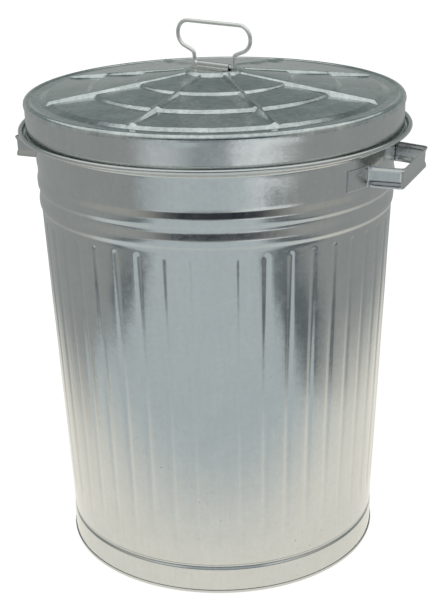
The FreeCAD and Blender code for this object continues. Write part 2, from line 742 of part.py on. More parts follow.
def lid_skirt():
    """The lid's band, hemmed inwards below and rounded into a short flange under the panel."""
    body = document.addObject("PartDesign::Body", "lid_skirt")
    body.Label = "lid_skirt"
    section = new_sketch(body, "skirt_section", "XZ_Plane")
    face = "({lid_radius} - {sheet_gauge} - {rest_gap})"
    curve = "({edge_round} - {sheet_gauge} - {rest_gap})"
    top = "({skirt_height} - {sheet_gauge} - {rest_gap})"
    soft = "{sheet_gauge} / 2"
    mid = f"{curve} * (1 - cos(45 deg))"
    closed_profile(section, [
        (f"{face} - {soft}", "0"),
        (face, soft),
        (face, f"{top} - {curve}"),
        (f"{face} - {mid}", f"{top} - {mid}"),
        (f"{face} - {curve}", top),
        (f"{face} - {curve} - {{skirt_flange}}", top),
        (f"{face} - {curve} - {{skirt_flange}}", f"{top} - {{sheet_gauge}}"),
        (f"{face} - {curve}", f"{top} - {{sheet_gauge}}"),
        (f"{face} - {{sheet_gauge}}", f"{top} - {curve}"),
        (f"{face} - {{sheet_gauge}}", f"{{skirt_hem}} + {soft}"),
        (f"{face} - 2 * {{sheet_gauge}}", "{skirt_hem}"),
        (f"{face} - 2 * {{sheet_gauge}}", "0"),
    ])
    turned = body.newObject("PartDesign::Revolution", "skirt_turned")
    turned.Profile = section
    turned.ReferenceAxis = (section, ["V_Axis"])
    turned.Angle = 360
    body.Placement = turned_and_lifted(size("lid_turn"), skirt_level())


lid_skirt()


# ---------------------------------------------------------------- clip and wire loop


def lid_clip():
    """The saddle on the lid's seat: two flanges and an arched barrel over the loop's lower bar."""
    body = document.addObject("PartDesign::Body", "lid_clip")
    body.Label = "lid_clip"
    hollow = "({loop_radius} + {loop_gap})"
    shell = f"({hollow} + {{clip_gauge}})"
    arch = new_sketch(body, "barrel_section", "YZ_Plane")
    closed_profile(arch, [
        ("-" + shell, "0"),
        ("-" + hollow, "0"),
        ("-" + hollow, "{loop_rise}"),
        (hollow, "{loop_rise}"),
        (hollow, "0"),
        (shell, "0"),
        (shell, "{loop_rise}"),
        ("-" + shell, "{loop_rise}"),
    ], {
        2: (("0", "{loop_rise}"), hollow, False),
        6: (("0", "{loop_rise}"), shell, True),
    })
    barrel = body.newObject("PartDesign::Pad", "barrel")
    barrel.Profile = arch
    barrel.Midplane = True
    barrel.setExpression("Length", bound("{barrel_length}"))
    for side, name in ((1, "front_flange"), (-1, "back_flange")):
        outline = new_sketch(body, name + "_outline", "XY_Plane")
        corner = "{clip_gauge} * 3"
        near, far = f"{side} * {hollow}", f"{side} * {{clip_reach}}"
        closed_profile(outline, [
            ("-{clip_length} / 2", near),
            ("{clip_length} / 2", near),
            ("{clip_length} / 2", f"{far} - {side} * {corner}"),
            (f"{{clip_length}} / 2 - {corner}", far),
            (f"-{{clip_length}} / 2 + {corner}", far),
            ("-{clip_length} / 2", f"{far} - {side} * {corner}"),
        ])
        flange = body.newObject("PartDesign::Pad", name)
        flange.Profile = outline
        flange.setExpression("Length", bound("{clip_gauge}"))
    body.Tip = flange
    body.Placement = turned_and_lifted(size("lid_turn") + size("clip_turn"), lid_level() + size("boss_rise"))


lid_clip()


def lid_handle():
    """The folding loop: a round bar bent to a closed form, swept one half at a time."""
    body = document.addObject("PartDesign::Body", "lid_handle")
    body.Label = "lid_handle"
    path = new_sketch(body, "loop_path", "XZ_Plane")
    slant = math.radians(size("slant"))
    leg = size("leg_half")
    foot_bend, throat, round_bend = (size(name) for name in ("leg_bend", "throat_bend", "shoulder_radius"))
    shoulder = FreeCAD.Vector(size("shoulder_half"), size("shoulder_rise"), 0)
    low = shoulder + FreeCAD.Vector(math.sin(slant), -math.cos(slant), 0) * round_bend
    top = shoulder + FreeCAD.Vector(0, round_bend, 0)
    corner = low - FreeCAD.Vector(1, math.tan(slant), 0) * (low.x - leg)
    cut = throat * math.tan((math.pi / 2 - slant) / 2)
    leg_end = corner - FreeCAD.Vector(0, cut, 0)
    slant_start = corner + FreeCAD.Vector(math.cos(slant), math.sin(slant), 0) * cut
    up = FreeCAD.Vector(0, 0, 1)
    foot_ring = Part.Circle(FreeCAD.Vector(leg - foot_bend, foot_bend, 0), up, foot_bend)
    throat_ring = Part.Circle(leg_end + FreeCAD.Vector(throat, 0, 0), up, throat)
    parts = [
        Part.LineSegment(FreeCAD.Vector(), FreeCAD.Vector(leg - foot_bend, 0, 0)),
        Part.ArcOfCircle(foot_ring, -math.pi / 2, 0),
        Part.LineSegment(FreeCAD.Vector(leg, foot_bend, 0), leg_end),
        Part.ArcOfCircle(throat_ring, math.pi / 2 + slant, math.pi),
        Part.LineSegment(slant_start, low),
        Part.ArcOfCircle(Part.Circle(shoulder, up, round_bend), slant - math.pi / 2, math.pi / 2),
        Part.LineSegment(top, FreeCAD.Vector(0, top.y, 0)),
    ]
    for part in parts:
        path.addGeometry(part, False)
    for joint in ((0, 2, 1, 1), (1, 2, 2, 1), (2, 2, 3, 2), (3, 1, 4, 1), (4, 2, 5, 1), (5, 2, 6, 1)):
        path.addConstraint(Sketcher.Constraint("Tangent", *joint))
    path.addConstraint(Sketcher.Constraint("Coincident", 0, 1, -1, 1))
    path.addConstraint(Sketcher.Constraint("Horizontal", 0))
    path.addConstraint(Sketcher.Constraint("Vertical", 2))
    path.addConstraint(Sketcher.Constraint("Horizontal", 6))
    path.addConstraint(Sketcher.Constraint("PointOnObject", 6, 2, -2))
    for number, name in ((1, "leg_bend"), (3, "throat_bend"), (5, "shoulder_radius")):
        tie(path, Sketcher.Constraint("Radius", number, size(name)), "{" + name + "}")
    tie(path, Sketcher.Constraint("DistanceX", -1, 1, 2, 1, leg), "{leg_half}")
    tie(path, Sketcher.Constraint("DistanceX", -1, 1, 5, 3, shoulder.x), "{shoulder_half}")
    tie(path, Sketcher.Constraint("DistanceY", -1, 1, 5, 3, shoulder.y), "{shoulder_rise}")
    tie(path, Sketcher.Constraint("Angle", 4, slant), "{slant} * 1 deg")

    wire = new_sketch(body, "wire_section", "YZ_Plane")
    wire.addGeometry(Part.Circle(FreeCAD.Vector(), up, size("loop_radius")), False)
    wire.addConstraint(Sketcher.Constraint("Coincident", 0, 3, -1, 1))
    tie(wire, Sketcher.Constraint("Radius", 0, size("loop_radius")), "{loop_radius}")
    half = body.newObject("PartDesign::AdditivePipe", "half_loop")
    half.Profile = wire
    half.Spine = (path, [f"Edge{number}" for number in range(1, 8)])
    both = body.newObject("PartDesign::Mirrored", "whole_loop")
    both.Originals = [half]
    both.MirrorPlane = (origin_plane(body, "YZ_Plane"), [""])
    body.Tip = both
    body.Placement = turned_and_lifted(size("lid_turn") + size("clip_turn"),
                                       lid_level() + size("boss_rise") + size("loop_rise"))


lid_handle()


# ---------------------------------------------------------------- checks and files

document.recompute()
NODES = ["body_shell", "rim_wire", "bottom_pan", "handle_right", "handle_left",
         "lid_panel", "lid_skirt", "lid_clip", "lid_handle"]
for item in document.Objects:
    if "Invalid" in item.State or "Error" in item.State:
        raise RuntimeError(f"{item.Name} did not recompute")
os.makedirs("parts", exist_ok=True)
for name in NODES:
    shape = document.getObject(name).Shape
    if shape.isNull() or not shape.isValid() or len(shape.Solids) != 1:
        raise RuntimeError(f"{name} is not one sound solid")
    shape.exportStep(f"parts/{name}.step")
    box = shape.BoundBox
    print(f"{name}: {shape.Volume:.0f} mm3, {box.XLength:.1f} x {box.YLength:.1f} x {box.ZLength:.1f} mm")
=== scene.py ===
"""Visual model of a galvanized trash can with a loose lid, dressed over its CAD frame."""

import json
import logging
import math
from collections.abc import Callable, Sequence
from dataclasses import dataclass, field
from enum import Enum

import bmesh
import bpy
import numpy as np
from mathutils import Matrix, Vector

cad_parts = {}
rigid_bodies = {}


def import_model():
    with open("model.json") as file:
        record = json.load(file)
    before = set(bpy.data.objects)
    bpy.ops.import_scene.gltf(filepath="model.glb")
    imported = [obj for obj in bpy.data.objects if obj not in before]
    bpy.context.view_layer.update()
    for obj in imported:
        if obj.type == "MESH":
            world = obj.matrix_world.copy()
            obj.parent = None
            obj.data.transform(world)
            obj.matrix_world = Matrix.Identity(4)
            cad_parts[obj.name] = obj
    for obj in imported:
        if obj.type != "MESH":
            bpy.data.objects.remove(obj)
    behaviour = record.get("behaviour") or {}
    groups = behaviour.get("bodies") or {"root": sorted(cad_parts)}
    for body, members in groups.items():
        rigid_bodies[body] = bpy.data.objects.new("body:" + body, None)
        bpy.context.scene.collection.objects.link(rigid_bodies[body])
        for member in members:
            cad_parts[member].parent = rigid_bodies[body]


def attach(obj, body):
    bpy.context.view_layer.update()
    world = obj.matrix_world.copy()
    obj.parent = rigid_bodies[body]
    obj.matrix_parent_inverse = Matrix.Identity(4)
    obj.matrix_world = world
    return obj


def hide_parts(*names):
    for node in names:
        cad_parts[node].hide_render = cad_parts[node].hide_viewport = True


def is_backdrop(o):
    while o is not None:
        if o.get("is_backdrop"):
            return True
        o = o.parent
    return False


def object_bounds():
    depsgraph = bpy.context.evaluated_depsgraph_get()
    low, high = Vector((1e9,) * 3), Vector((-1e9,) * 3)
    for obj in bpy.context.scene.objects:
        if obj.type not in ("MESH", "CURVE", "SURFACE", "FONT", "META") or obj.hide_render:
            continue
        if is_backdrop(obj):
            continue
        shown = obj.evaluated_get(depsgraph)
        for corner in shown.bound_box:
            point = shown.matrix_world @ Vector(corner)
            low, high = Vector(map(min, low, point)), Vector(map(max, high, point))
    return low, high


LOG = logging.getLogger("trash_can")
MM = 0.001

Piece = bpy.types.Object
Material = bpy.types.Material
Socket = bpy.types.NodeSocket
Point2 = tuple[float, float]
Triple = tuple[float, float, float]
Field = Callable[[np.ndarray, np.ndarray], np.ndarray]


class Body(Enum):
    """The moving bodies of the frame."""

    CAN = "can"
    LID = "lid"
    LOOP = "loop"


class Slot(Enum):
    """The record's material slots."""

    SHEET = "zinc_sheet"
    STRAP = "zinc_strap"
    WIRE = "zinc_wire"


# ---------------------------------------------------------------- small mathematics


def smooth_step(low: float, high: float, value: np.ndarray) -> np.ndarray:
    """A soft rise from 0 to 1 between two limits.

    Args:
        low: where the rise starts.
        high: where the rise ends.
        value: where it is asked for.

    Returns:
        The height of the rise at each value.
    """
    share = np.clip((value - low) / (high - low), 0.0, 1.0)
    return share * share * (3.0 - 2.0 * share)


def soft_max(first: np.ndarray, second: np.ndarray, blend: float) -> np.ndarray:
    """The larger of two heights, with a rounded valley where they meet.

    Args:
        first: one height.
        second: the other height.
        blend: how wide the rounding is, in the same unit.

    Returns:
        The rounded maximum.
    """
    gap = np.clip(blend - np.abs(first - second), 0.0, None)
    return np.maximum(first, second) + gap * gap / (4.0 * blend)


def dish(distance: np.ndarray, radius: float) -> np.ndarray:
    """A round pressed hollow, 1 deep in its middle and 0 from its radius outwards."""
    return np.where(distance < radius, np.cos(0.5 * math.pi * distance / radius) ** 2, 0.0)


def waves(first: np.ndarray, second: np.ndarray, seed: int, count: int, pitch: float) -> np.ndarray:
    """A sum of long sine waves, the slight unevenness of rolled sheet.

    Args:
        first: one coordinate over the sheet, in millimetres.
        second: the other coordinate, in millimetres.
        seed: what makes this sheet differ from another.
        count: how many waves are added.
        pitch: the typical wavelength in millimetres.

    Returns:
        A height between about -1 and 1.
    """
    dice = np.random.default_rng(seed)
    total = np.zeros_like(first)
    for _ in range(count):
        heading = dice.uniform(0.0, 2.0 * math.pi)
        wave = 2.0 * math.pi / (pitch * dice.uniform(0.6, 1.7))
        phase = dice.uniform(0.0, 2.0 * math.pi)
        total += np.sin(wave * (first * math.cos(heading) + second * math.sin(heading)) + phase)
    return total / math.sqrt(count)


def smoothed(values: np.ndarray, width: int) -> np.ndarray:
    """Evenly spaced values, each averaged with its neighbours.

    Args:
        values: the values.
        width: how many of them are averaged, an odd number.

    Returns:
        As many smoothed values.
    """
    kernel = np.hanning(width)
    return np.convolve(np.pad(values, width // 2, mode="edge"), kernel / kernel.sum(), mode="valid")


def left_of(along: np.ndarray) -> np.ndarray:
    """Unit vectors to the left of directions in a plane."""
    return np.stack([-along[:, 1], along[:, 0]], axis=1) / np.linalg.norm(along, axis=1)[:, None]


def spin(points: np.ndarray, degrees: float) -> np.ndarray:
    """Points turned about the vertical axis.

    Args:
        points: an array whose last axis is (x, y, z).
        degrees: how far they are turned, anticlockwise from above.

    Returns:
        The turned points.
    """
    turn = math.radians(degrees)
    rows = [[math.cos(turn), math.sin(turn), 0.0], [-math.sin(turn), math.cos(turn), 0.0], [0.0, 0.0, 1.0]]
    return points @ np.array(rows)


class Outline:
    """A chain of points in a section, built up from lines and arcs, in millimetres."""

    def __init__(self, start: Point2) -> None:
        """Starts the outline at a point."""
        self.points: list[Point2] = [start]

    def line(self, end: Point2, spacing: float = 1e9) -> "Outline":
        """Adds a straight run.

        Args:
            end: where the run ends.
            spacing: the largest distance between its points.

        Returns:
            The outline itself.
        """
        start = self.points[-1]
        steps = max(1, math.ceil(math.dist(start, end) / spacing))
        for step in range(1, steps + 1):
            share = step / steps
            self.points.append((start[0] + (end[0] - start[0]) * share,
                                start[1] + (end[1] - start[1]) * share))
        return self

    def arc(self, centre: Point2, radius: float, start: float, end: float, steps: int) -> "Outline":
        """Adds a round run.

        Args:
            centre: the arc's centre.
            radius: its radius.
            start: the angle where it starts, in degrees.
            end: the angle where it ends, in degrees.
            steps: how many points it adds.

        Returns:
            The outline itself.
        """
        for step in range(1, steps + 1):
            turn = math.radians(start + (end - start) * step / steps)
            self.points.append((centre[0] + radius * math.cos(turn), centre[1] + radius * math.sin(turn)))
        return self

    def array(self) -> np.ndarray:
        """The points as rows of (radius, level)."""
        return np.array(self.points, float)


def offset_line(points: np.ndarray, distance: float) -> np.ndarray:
    """An open chain of points moved sideways, to the left of its direction.

    Args:
        points: rows of two coordinates.
        distance: how far each point moves.

    Returns:
        The moved points.
    """
    return points + left_of(np.gradient(points, axis=0)) * distance


# ---------------------------------------------------------------- meshes


class Mesher:
    """Turns grids of points into mesh objects."""

    @staticmethod
    def build(name: str, vertices: np.ndarray, faces: Sequence[Sequence[int]],
              sharp: float = 40.0) -> Piece:
        """Makes a closed, smooth-shaded object whose faces look outwards and whose hard edges stay hard.

        Args:
            name: the piece's name.
            vertices: rows of three coordinates in millimetres, in the row frame.
            faces: the corners of each face.
            sharp: the angle in degrees from which an edge stays hard.

        Returns:
            The new object, linked to the scene.
        """
        mesh = bpy.data.meshes.new(name)
        mesh.from_pydata((np.asarray(vertices) * MM).tolist(), [], [tuple(face) for face in faces])
        mesh.validate()
        mesh.shade_smooth()
        mesh.set_sharp_from_angle(angle=math.radians(sharp))
        shell = bmesh.new()
        shell.from_mesh(mesh)
        bmesh.ops.recalc_face_normals(shell, faces=shell.faces)
        shell.to_mesh(mesh)
        shell.free()
        piece = bpy.data.objects.new(name, mesh)
        bpy.context.scene.collection.objects.link(piece)
        return piece

    @staticmethod
    def quads(rows: int, columns: int, closed: bool) -> list[tuple[int, ...]]:
        """The faces of a grid whose rows join their own start.

        Args:
            rows: how many rows of points the grid has.
            columns: how many points are in a row.
            closed: whether the last row joins the first.

        Returns:
            Four point numbers for each face.
        """
        faces = []
        for row in range(rows if closed else rows - 1):
            above = (row + 1) % rows
            for column in range(columns):
                after = (column + 1) % columns
                faces.append((row * columns + column, row * columns + after,
                              above * columns + after, above * columns + column))
        return faces

    @classmethod
    def ring(cls, name: str, grid: np.ndarray) -> Piece:
        """An endless ring, from rows of points of its closed section by columns round it."""
        return cls.build(name, grid.reshape(-1, 3), cls.quads(*grid.shape[:2], True))

    @classmethod
    def disc(cls, name: str, grid: np.ndarray, first: np.ndarray, last: np.ndarray) -> Piece:
        """A closed skin from one pole over the grid's rows to another pole.

        Args:
            name: the piece's name.
            grid: rows of points between the two poles.
            first: the pole before the first row.
            last: the pole after the last row.

        Returns:
            The new object.
        """
        rows, columns = grid.shape[:2]
        vertices = np.vstack([grid.reshape(-1, 3), first[None], last[None]])
        faces = cls.quads(rows, columns, False)
        top, bottom = rows * columns, rows * columns + 1
        for column in range(columns):
            after = (column + 1) % columns
            faces.append((top, after, column))
            faces.append((bottom, (rows - 1) * columns + column, (rows - 1) * columns + after))
        return cls.build(name, vertices, faces)

    @classmethod
    def tube(cls, name: str, grid: np.ndarray, closed: bool, sharp: float = 40.0) -> Piece:
        """A bar whose closed section is swept along a path.

        Args:
            name: the piece's name.
            grid: rows along the path by columns round the section.
            closed: whether the path joins its own start; otherwise both ends are capped.
            sharp: the angle in degrees from which an edge stays hard.

        Returns:
            The new object.
        """
        rows, columns = grid.shape[:2]
        faces = cls.quads(rows, columns, closed)
        if not closed:
            faces.append(tuple(reversed(range(columns))))
            faces.append(tuple((rows - 1) * columns + column for column in range(columns)))
        return cls.build(name, grid.reshape(-1, 3), faces, sharp)


def lathe(profile: np.ndarray, turns: np.ndarray, bulge: Field | None = None) -> np.ndarray:
    """A grid of points from a section turned about the can's axis.

    Args:
        profile: rows of (radius, level).
        turns: the azimuth of every column, in radians.
        bulge: what is added to the radius at a (azimuth, level), if anything.

    Returns:
        Rows of section points by columns round the axis.
    """
    radius = np.repeat(profile[:, :1], len(turns), axis=1)
    level = np.repeat(profile[:, 1:], len(turns), axis=1)
    azimuth = np.repeat(turns[None], len(profile), axis=0)
    if bulge is not None:
        radius = radius + bulge(azimuth, level)
    return np.stack([radius * np.cos(azimuth), radius * np.sin(azimuth), level], axis=2)


def even_turns(count: int) -> np.ndarray:
    """Azimuths spread evenly round the axis, in radians."""
    return np.linspace(0.0, 2.0 * math.pi, count, endpoint=False)


# ---------------------------------------------------------------- shader nodes


class Nodes:
    """Adds nodes to one tree and joins them."""

    def __init__(self, tree: bpy.types.NodeTree) -> None:
        """Takes the tree and empties it."""
        self.tree = tree
        tree.nodes.clear()

    def add(self, kind: str, inputs: dict[str | int, object] | None = None,
            **settings: object) -> bpy.types.Node:
        """Adds a node.

        Args:
            kind: Blender's name of the node's type.
            inputs: what each of its inputs is fed with, a socket, number or colour.
            settings: attributes to set on it.

        Returns:
            The new node.
        """
        node = self.tree.nodes.new(kind)
        for name, value in settings.items():
            setattr(node, name, value)
        for name, value in (inputs or {}).items():
            self.put(node.inputs[name], value)
        return node

    def put(self, target: Socket, value: object) -> None:
        """Feeds an input from a socket, or sets it to a number or colour.

        Args:
            target: the input.
            value: the socket, number, vector or colour without alpha.
        """
        if isinstance(value, Socket):
            self.tree.links.new(value, target)
        elif target.type == "RGBA":
            target.default_value = (*value, 1.0)
        else:
            target.default_value = value

    def math(self, operation: str, first: object, second: object = 0.0,
             clamp: bool = False) -> Socket:
        """A calculation with one or two inputs.

        Args:
            operation: the calculation's name.
            first: a socket or number.
            second: a socket or number.
            clamp: whether the result is kept between 0 and 1.

        Returns:
            The result.
        """
        inputs = {0: first, 1: second}
        return self.add("ShaderNodeMath", inputs, operation=operation, use_clamp=clamp).outputs[0]

    def times(self, first: object, second: object) -> Socket:
        """The product of two values."""
        return self.math("MULTIPLY", first, second)

    def vector(self, operation: str, first: object, second: object) -> Socket:
        """A calculation with two vectors, or for SCALE with a vector and a number.

        Args:
            operation: the calculation's name.
            first: a socket or vector.
            second: a socket, vector or number.

        Returns:
            The resulting vector.
        """
        inputs = {0: first, "Scale" if operation == "SCALE" else 1: second}
        return self.add("ShaderNodeVectorMath", inputs, operation=operation).outputs[0]

    def along(self, place: Socket, way: Triple) -> Socket:
        """How far a place lies along a direction."""
        return self.add("ShaderNodeVectorMath", {0: place, 1: way}, operation="DOT_PRODUCT").outputs["Value"]

    def remap(self, value: object, source: Point2, target: Point2 = (0.0, 1.0)) -> Socket:
        """Moves a value from one range to another, smoothly and without passing its ends.

        Args:
            value: a socket.
            source: the range that is read.
            target: the range that is put out.

        Returns:
            The moved value.
        """
        ends = zip(("From Min", "From Max", "To Min", "To Max"), (*source, *target))
        inputs = {"Value": value, **dict(ends)}
        return self.add("ShaderNodeMapRange", inputs, interpolation_type="SMOOTHSTEP").outputs["Result"]

    def mix(self, share: object, first: object, second: object) -> Socket:
        """Mixes two colours.

        Args:
            share: how much of the second colour is used.
            first: a colour or socket.
            second: a colour or socket.

        Returns:
            The mixed colour.
        """
        inputs = {"Factor": share, 6: first, 7: second}
        return self.add("ShaderNodeMix", inputs, data_type="RGBA").outputs[2]

    def noise(self, where: object, scale: float, detail: float = 2.0,
              rough: float = 0.5) -> Socket:
        """Cloud noise between 0 and 1.

        Args:
            where: the vector that it is read at.
            scale: its repeats for each metre.
            detail: how many finer layers it has.
            rough: how strong those layers are.

        Returns:
            The noise.
        """
        inputs = {"Vector": where, "Scale": scale, "Detail": detail, "Roughness": rough}
        return self.add("ShaderNodeTexNoise", inputs).outputs["Fac"]


class SharedEffects:
    """The shader groups that more than one finish uses."""

    def __init__(self) -> None:
        """Builds the groups once."""
        self.spangle = self._spangle()
        self.weather = self._weather()

    @staticmethod
    def _new_group(name: str, numbers: dict[str, float],
                   outputs: dict[str, str]) -> tuple[Nodes, bpy.types.Node, bpy.types.Node]:
        """Makes an empty group with a place and numbers as its inputs.

        Args:
            name: the group's name.
            numbers: each number's socket name and usual value.
            outputs: each output's name and type.

        Returns:
            The group's nodes, its input node and its output node.
        """
        tree = bpy.data.node_groups.new(name, "ShaderNodeTree")
        tree.interface.new_socket(name="Place", in_out="INPUT", socket_type="NodeSocketVector")
        for label, value in numbers.items():
            socket = tree.interface.new_socket(name=label, in_out="INPUT", socket_type="NodeSocketFloat")
            socket.default_value = value
        for label, kind in outputs.items():
            tree.interface.new_socket(name=label, in_out="OUTPUT", socket_type=kind)
        nodes = Nodes(tree)
        return nodes, nodes.add("NodeGroupInput"), nodes.add("NodeGroupOutput")

    def _spangle(self) -> bpy.types.NodeTree:
        """The crystal pattern of a zinc bath: flat cells that differ in shade, gloss and tilt.

        Returns:
            The group, whose inputs are the place, the cells for each metre and their tilt.
        """
        nodes, given, result = self._new_group(
            "zinc_spangle", {"Cells": 200.0, "Tilt": 0.02},
            {"Shade": "NodeSocketFloat", "Gloss": "NodeSocketFloat", "Normal": "NodeSocketVector"})
        middle = (0.5, 0.5, 0.5)
        fine_cells = 2.7
        warp = nodes.add("ShaderNodeTexNoise", {"Vector": given.outputs["Place"], "Scale": 90.0})
        bend = nodes.vector("SCALE", nodes.vector("SUBTRACT", warp.outputs["Color"], middle), 0.006)
        place = nodes.vector("ADD", given.outputs["Place"], bend)
        patterns = []
        for scale in (given.outputs["Cells"], nodes.times(given.outputs["Cells"], fine_cells)):
            cells = nodes.add("ShaderNodeTexVoronoi", {"Vector": place, "Scale": scale}, feature="F1")
            patterns.append(cells.outputs["Color"])
        grain = nodes.mix(0.4, *patterns)
        split = nodes.add("ShaderNodeSeparateColor", {0: grain})
        lean = nodes.vector("SCALE", nodes.vector("SUBTRACT", grain, middle), given.outputs["Tilt"])
        face = nodes.add("ShaderNodeNewGeometry")
        turned = nodes.vector("ADD", face.outputs["Normal"], lean)
        unit = nodes.add("ShaderNodeVectorMath", {0: turned}, operation="NORMALIZE")
        nodes.put(result.inputs["Shade"], split.outputs[0])
        nodes.put(result.inputs["Gloss"], split.outputs[1])
        nodes.put(result.inputs["Normal"], unit.outputs[0])
        return nodes.tree

    def _weather(self) -> bpy.types.NodeTree:
        """Marks of handling: cloudy dulling, small dark specks and fine scratches.

        Returns:
            The group, whose inputs are the place and the amount of specks.
        """
        nodes, given, result = self._new_group(
            "handling_marks", {"Specks": 0.5},
            {"Cloud": "NodeSocketFloat", "Mark": "NodeSocketFloat", "Scratch": "NodeSocketFloat"})
        place = given.outputs["Place"]
        cloud = nodes.remap(nodes.noise(place, 34.0, 5.0, 0.65), (0.35, 0.7))
        speck = nodes.remap(nodes.noise(place, 260.0, 3.0, 0.7), (0.66, 0.74))
        patch = nodes.remap(nodes.noise(place, 9.0, 3.0, 0.5), (0.5, 0.62))
        stretch = nodes.vector("MULTIPLY", place, (260.0, 260.0, 9.0))
        nodes.put(result.inputs["Cloud"], cloud)
        nodes.put(result.inputs["Mark"],
                  nodes.math("MULTIPLY", nodes.times(speck, patch), given.outputs["Specks"], True))
        nodes.put(result.inputs["Scratch"], nodes.noise(stretch, 1.0))
        return nodes.tree


@dataclass(frozen=True)
class ZincFinish:
    """A hot-dip zinc finish and how strongly each of its marks shows."""

    name: str
    light: Triple
    dark: Triple
    roughness: float
    rough_span: float
    cells: float
    tilt: float
    specks: float
    pebble: float
    stain: Triple = (0.12, 0.12, 0.11)
    cell_share: float = 0.35
    cloud_share: float = 0.35
    scratch_share: float = 0.45

    def material(self, effects: SharedEffects) -> Material:
        """Builds the material.

        Args:
            effects: the shared shader groups.

        Returns:
            The new material.
        """
        made = bpy.data.materials.new(self.name)
        made.use_nodes = True
        nodes = Nodes(made.node_tree)
        place = nodes.add("ShaderNodeTexCoord").outputs["Object"]
        spangle = nodes.add("ShaderNodeGroup", {"Place": place, "Cells": self.cells, "Tilt": self.tilt},
                            node_tree=effects.spangle).outputs
        marks = nodes.add("ShaderNodeGroup", {"Place": place, "Specks": self.specks},
                          node_tree=effects.weather).outputs
        streaked = nodes.math("ADD", nodes.times(marks["Cloud"], self.cloud_share),
                              nodes.times(marks["Scratch"], self.scratch_share))
        shade = nodes.math("ADD", nodes.times(spangle["Shade"], self.cell_share), streaked)
        colour = nodes.mix(shade, self.dark, self.light)
        stained = nodes.mix(nodes.times(marks["Mark"], 0.7), colour, self.stain)
        low = self.roughness - self.rough_span / 2
        gloss = nodes.math("ADD", nodes.times(spangle["Gloss"], self.rough_span), low)
        dull = nodes.math("ADD", gloss, nodes.times(marks["Cloud"], 0.06))
        worn = nodes.math("ADD", dull, nodes.times(marks["Mark"], 0.25), True)
        relief = nodes.math("ADD", nodes.noise(place, 420.0, 2.0, 0.6), nodes.times(marks["Scratch"], 0.3))
        bump = nodes.add("ShaderNodeBump", {"Strength": self.pebble, "Distance": 0.0002, "Height": relief,
                                            "Normal": spangle["Normal"]})
        surface = nodes.add("ShaderNodeBsdfPrincipled", {"Metallic": 1.0, "Base Color": stained,
                                                         "Roughness": worn, "Normal": bump.outputs["Normal"]})
        nodes.add("ShaderNodeOutputMaterial", {"Surface": surface.outputs[0]})
        return made


ROLLED_SHEET = ZincFinish("rolled_zinc_sheet", (0.64, 0.66, 0.655), (0.56, 0.58, 0.575), 0.15, 0.07,
                          230.0, 0.018, 1.0, 0.16)
PRESSED_LID = ZincFinish("pressed_zinc_lid", (0.74, 0.78, 0.77), (0.32, 0.36, 0.37), 0.14, 0.07,
                         230.0, 0.022, 0.9, 0.15)
PRESSED_STRAP = ZincFinish("pressed_zinc_strap", (0.64, 0.66, 0.66), (0.52, 0.54, 0.54), 0.20, 0.08,
                           260.0, 0.022, 0.8, 0.2)
DRAWN_WIRE = ZincFinish("drawn_zinc_wire", (0.96, 0.96, 0.94), (0.84, 0.84, 0.83), 0.40, 0.10,
                        500.0, 0.02, 0.4, 0.25)


# ---------------------------------------------------------------- pieces


class SubAssembly:
    """What every sub-assembly shares: finishing a piece and reporting it."""

    body: Body = Body.CAN

    def finish(self, piece: Piece, material: Material, slot: Slot,
               *nodes: str) -> Piece:
        """Dresses a piece, puts it on its body and lets it stand for CAD nodes.

        Args:
            piece: the new object.
            material: what it is dressed in.
            slot: the record's slot that it belongs to; not used.
            nodes: the CAD nodes that it replaces, if any.

        Returns:
            The piece.
        """
        piece.data.materials.clear()
        piece.data.materials.append(material)
        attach(piece, self.body.value)
        if nodes:
            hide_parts(*nodes)
        LOG.info("%s: %d faces on %s", piece.name, len(piece.data.polygons), self.body.value)
        return piece


@dataclass
class Gauge:
    """Thicknesses and clearances in millimetres, as in the CAD source."""

    sheet: float = 0.7
    rest: float = 0.2
    strap: float = 1.2
    clip: float = 0.9


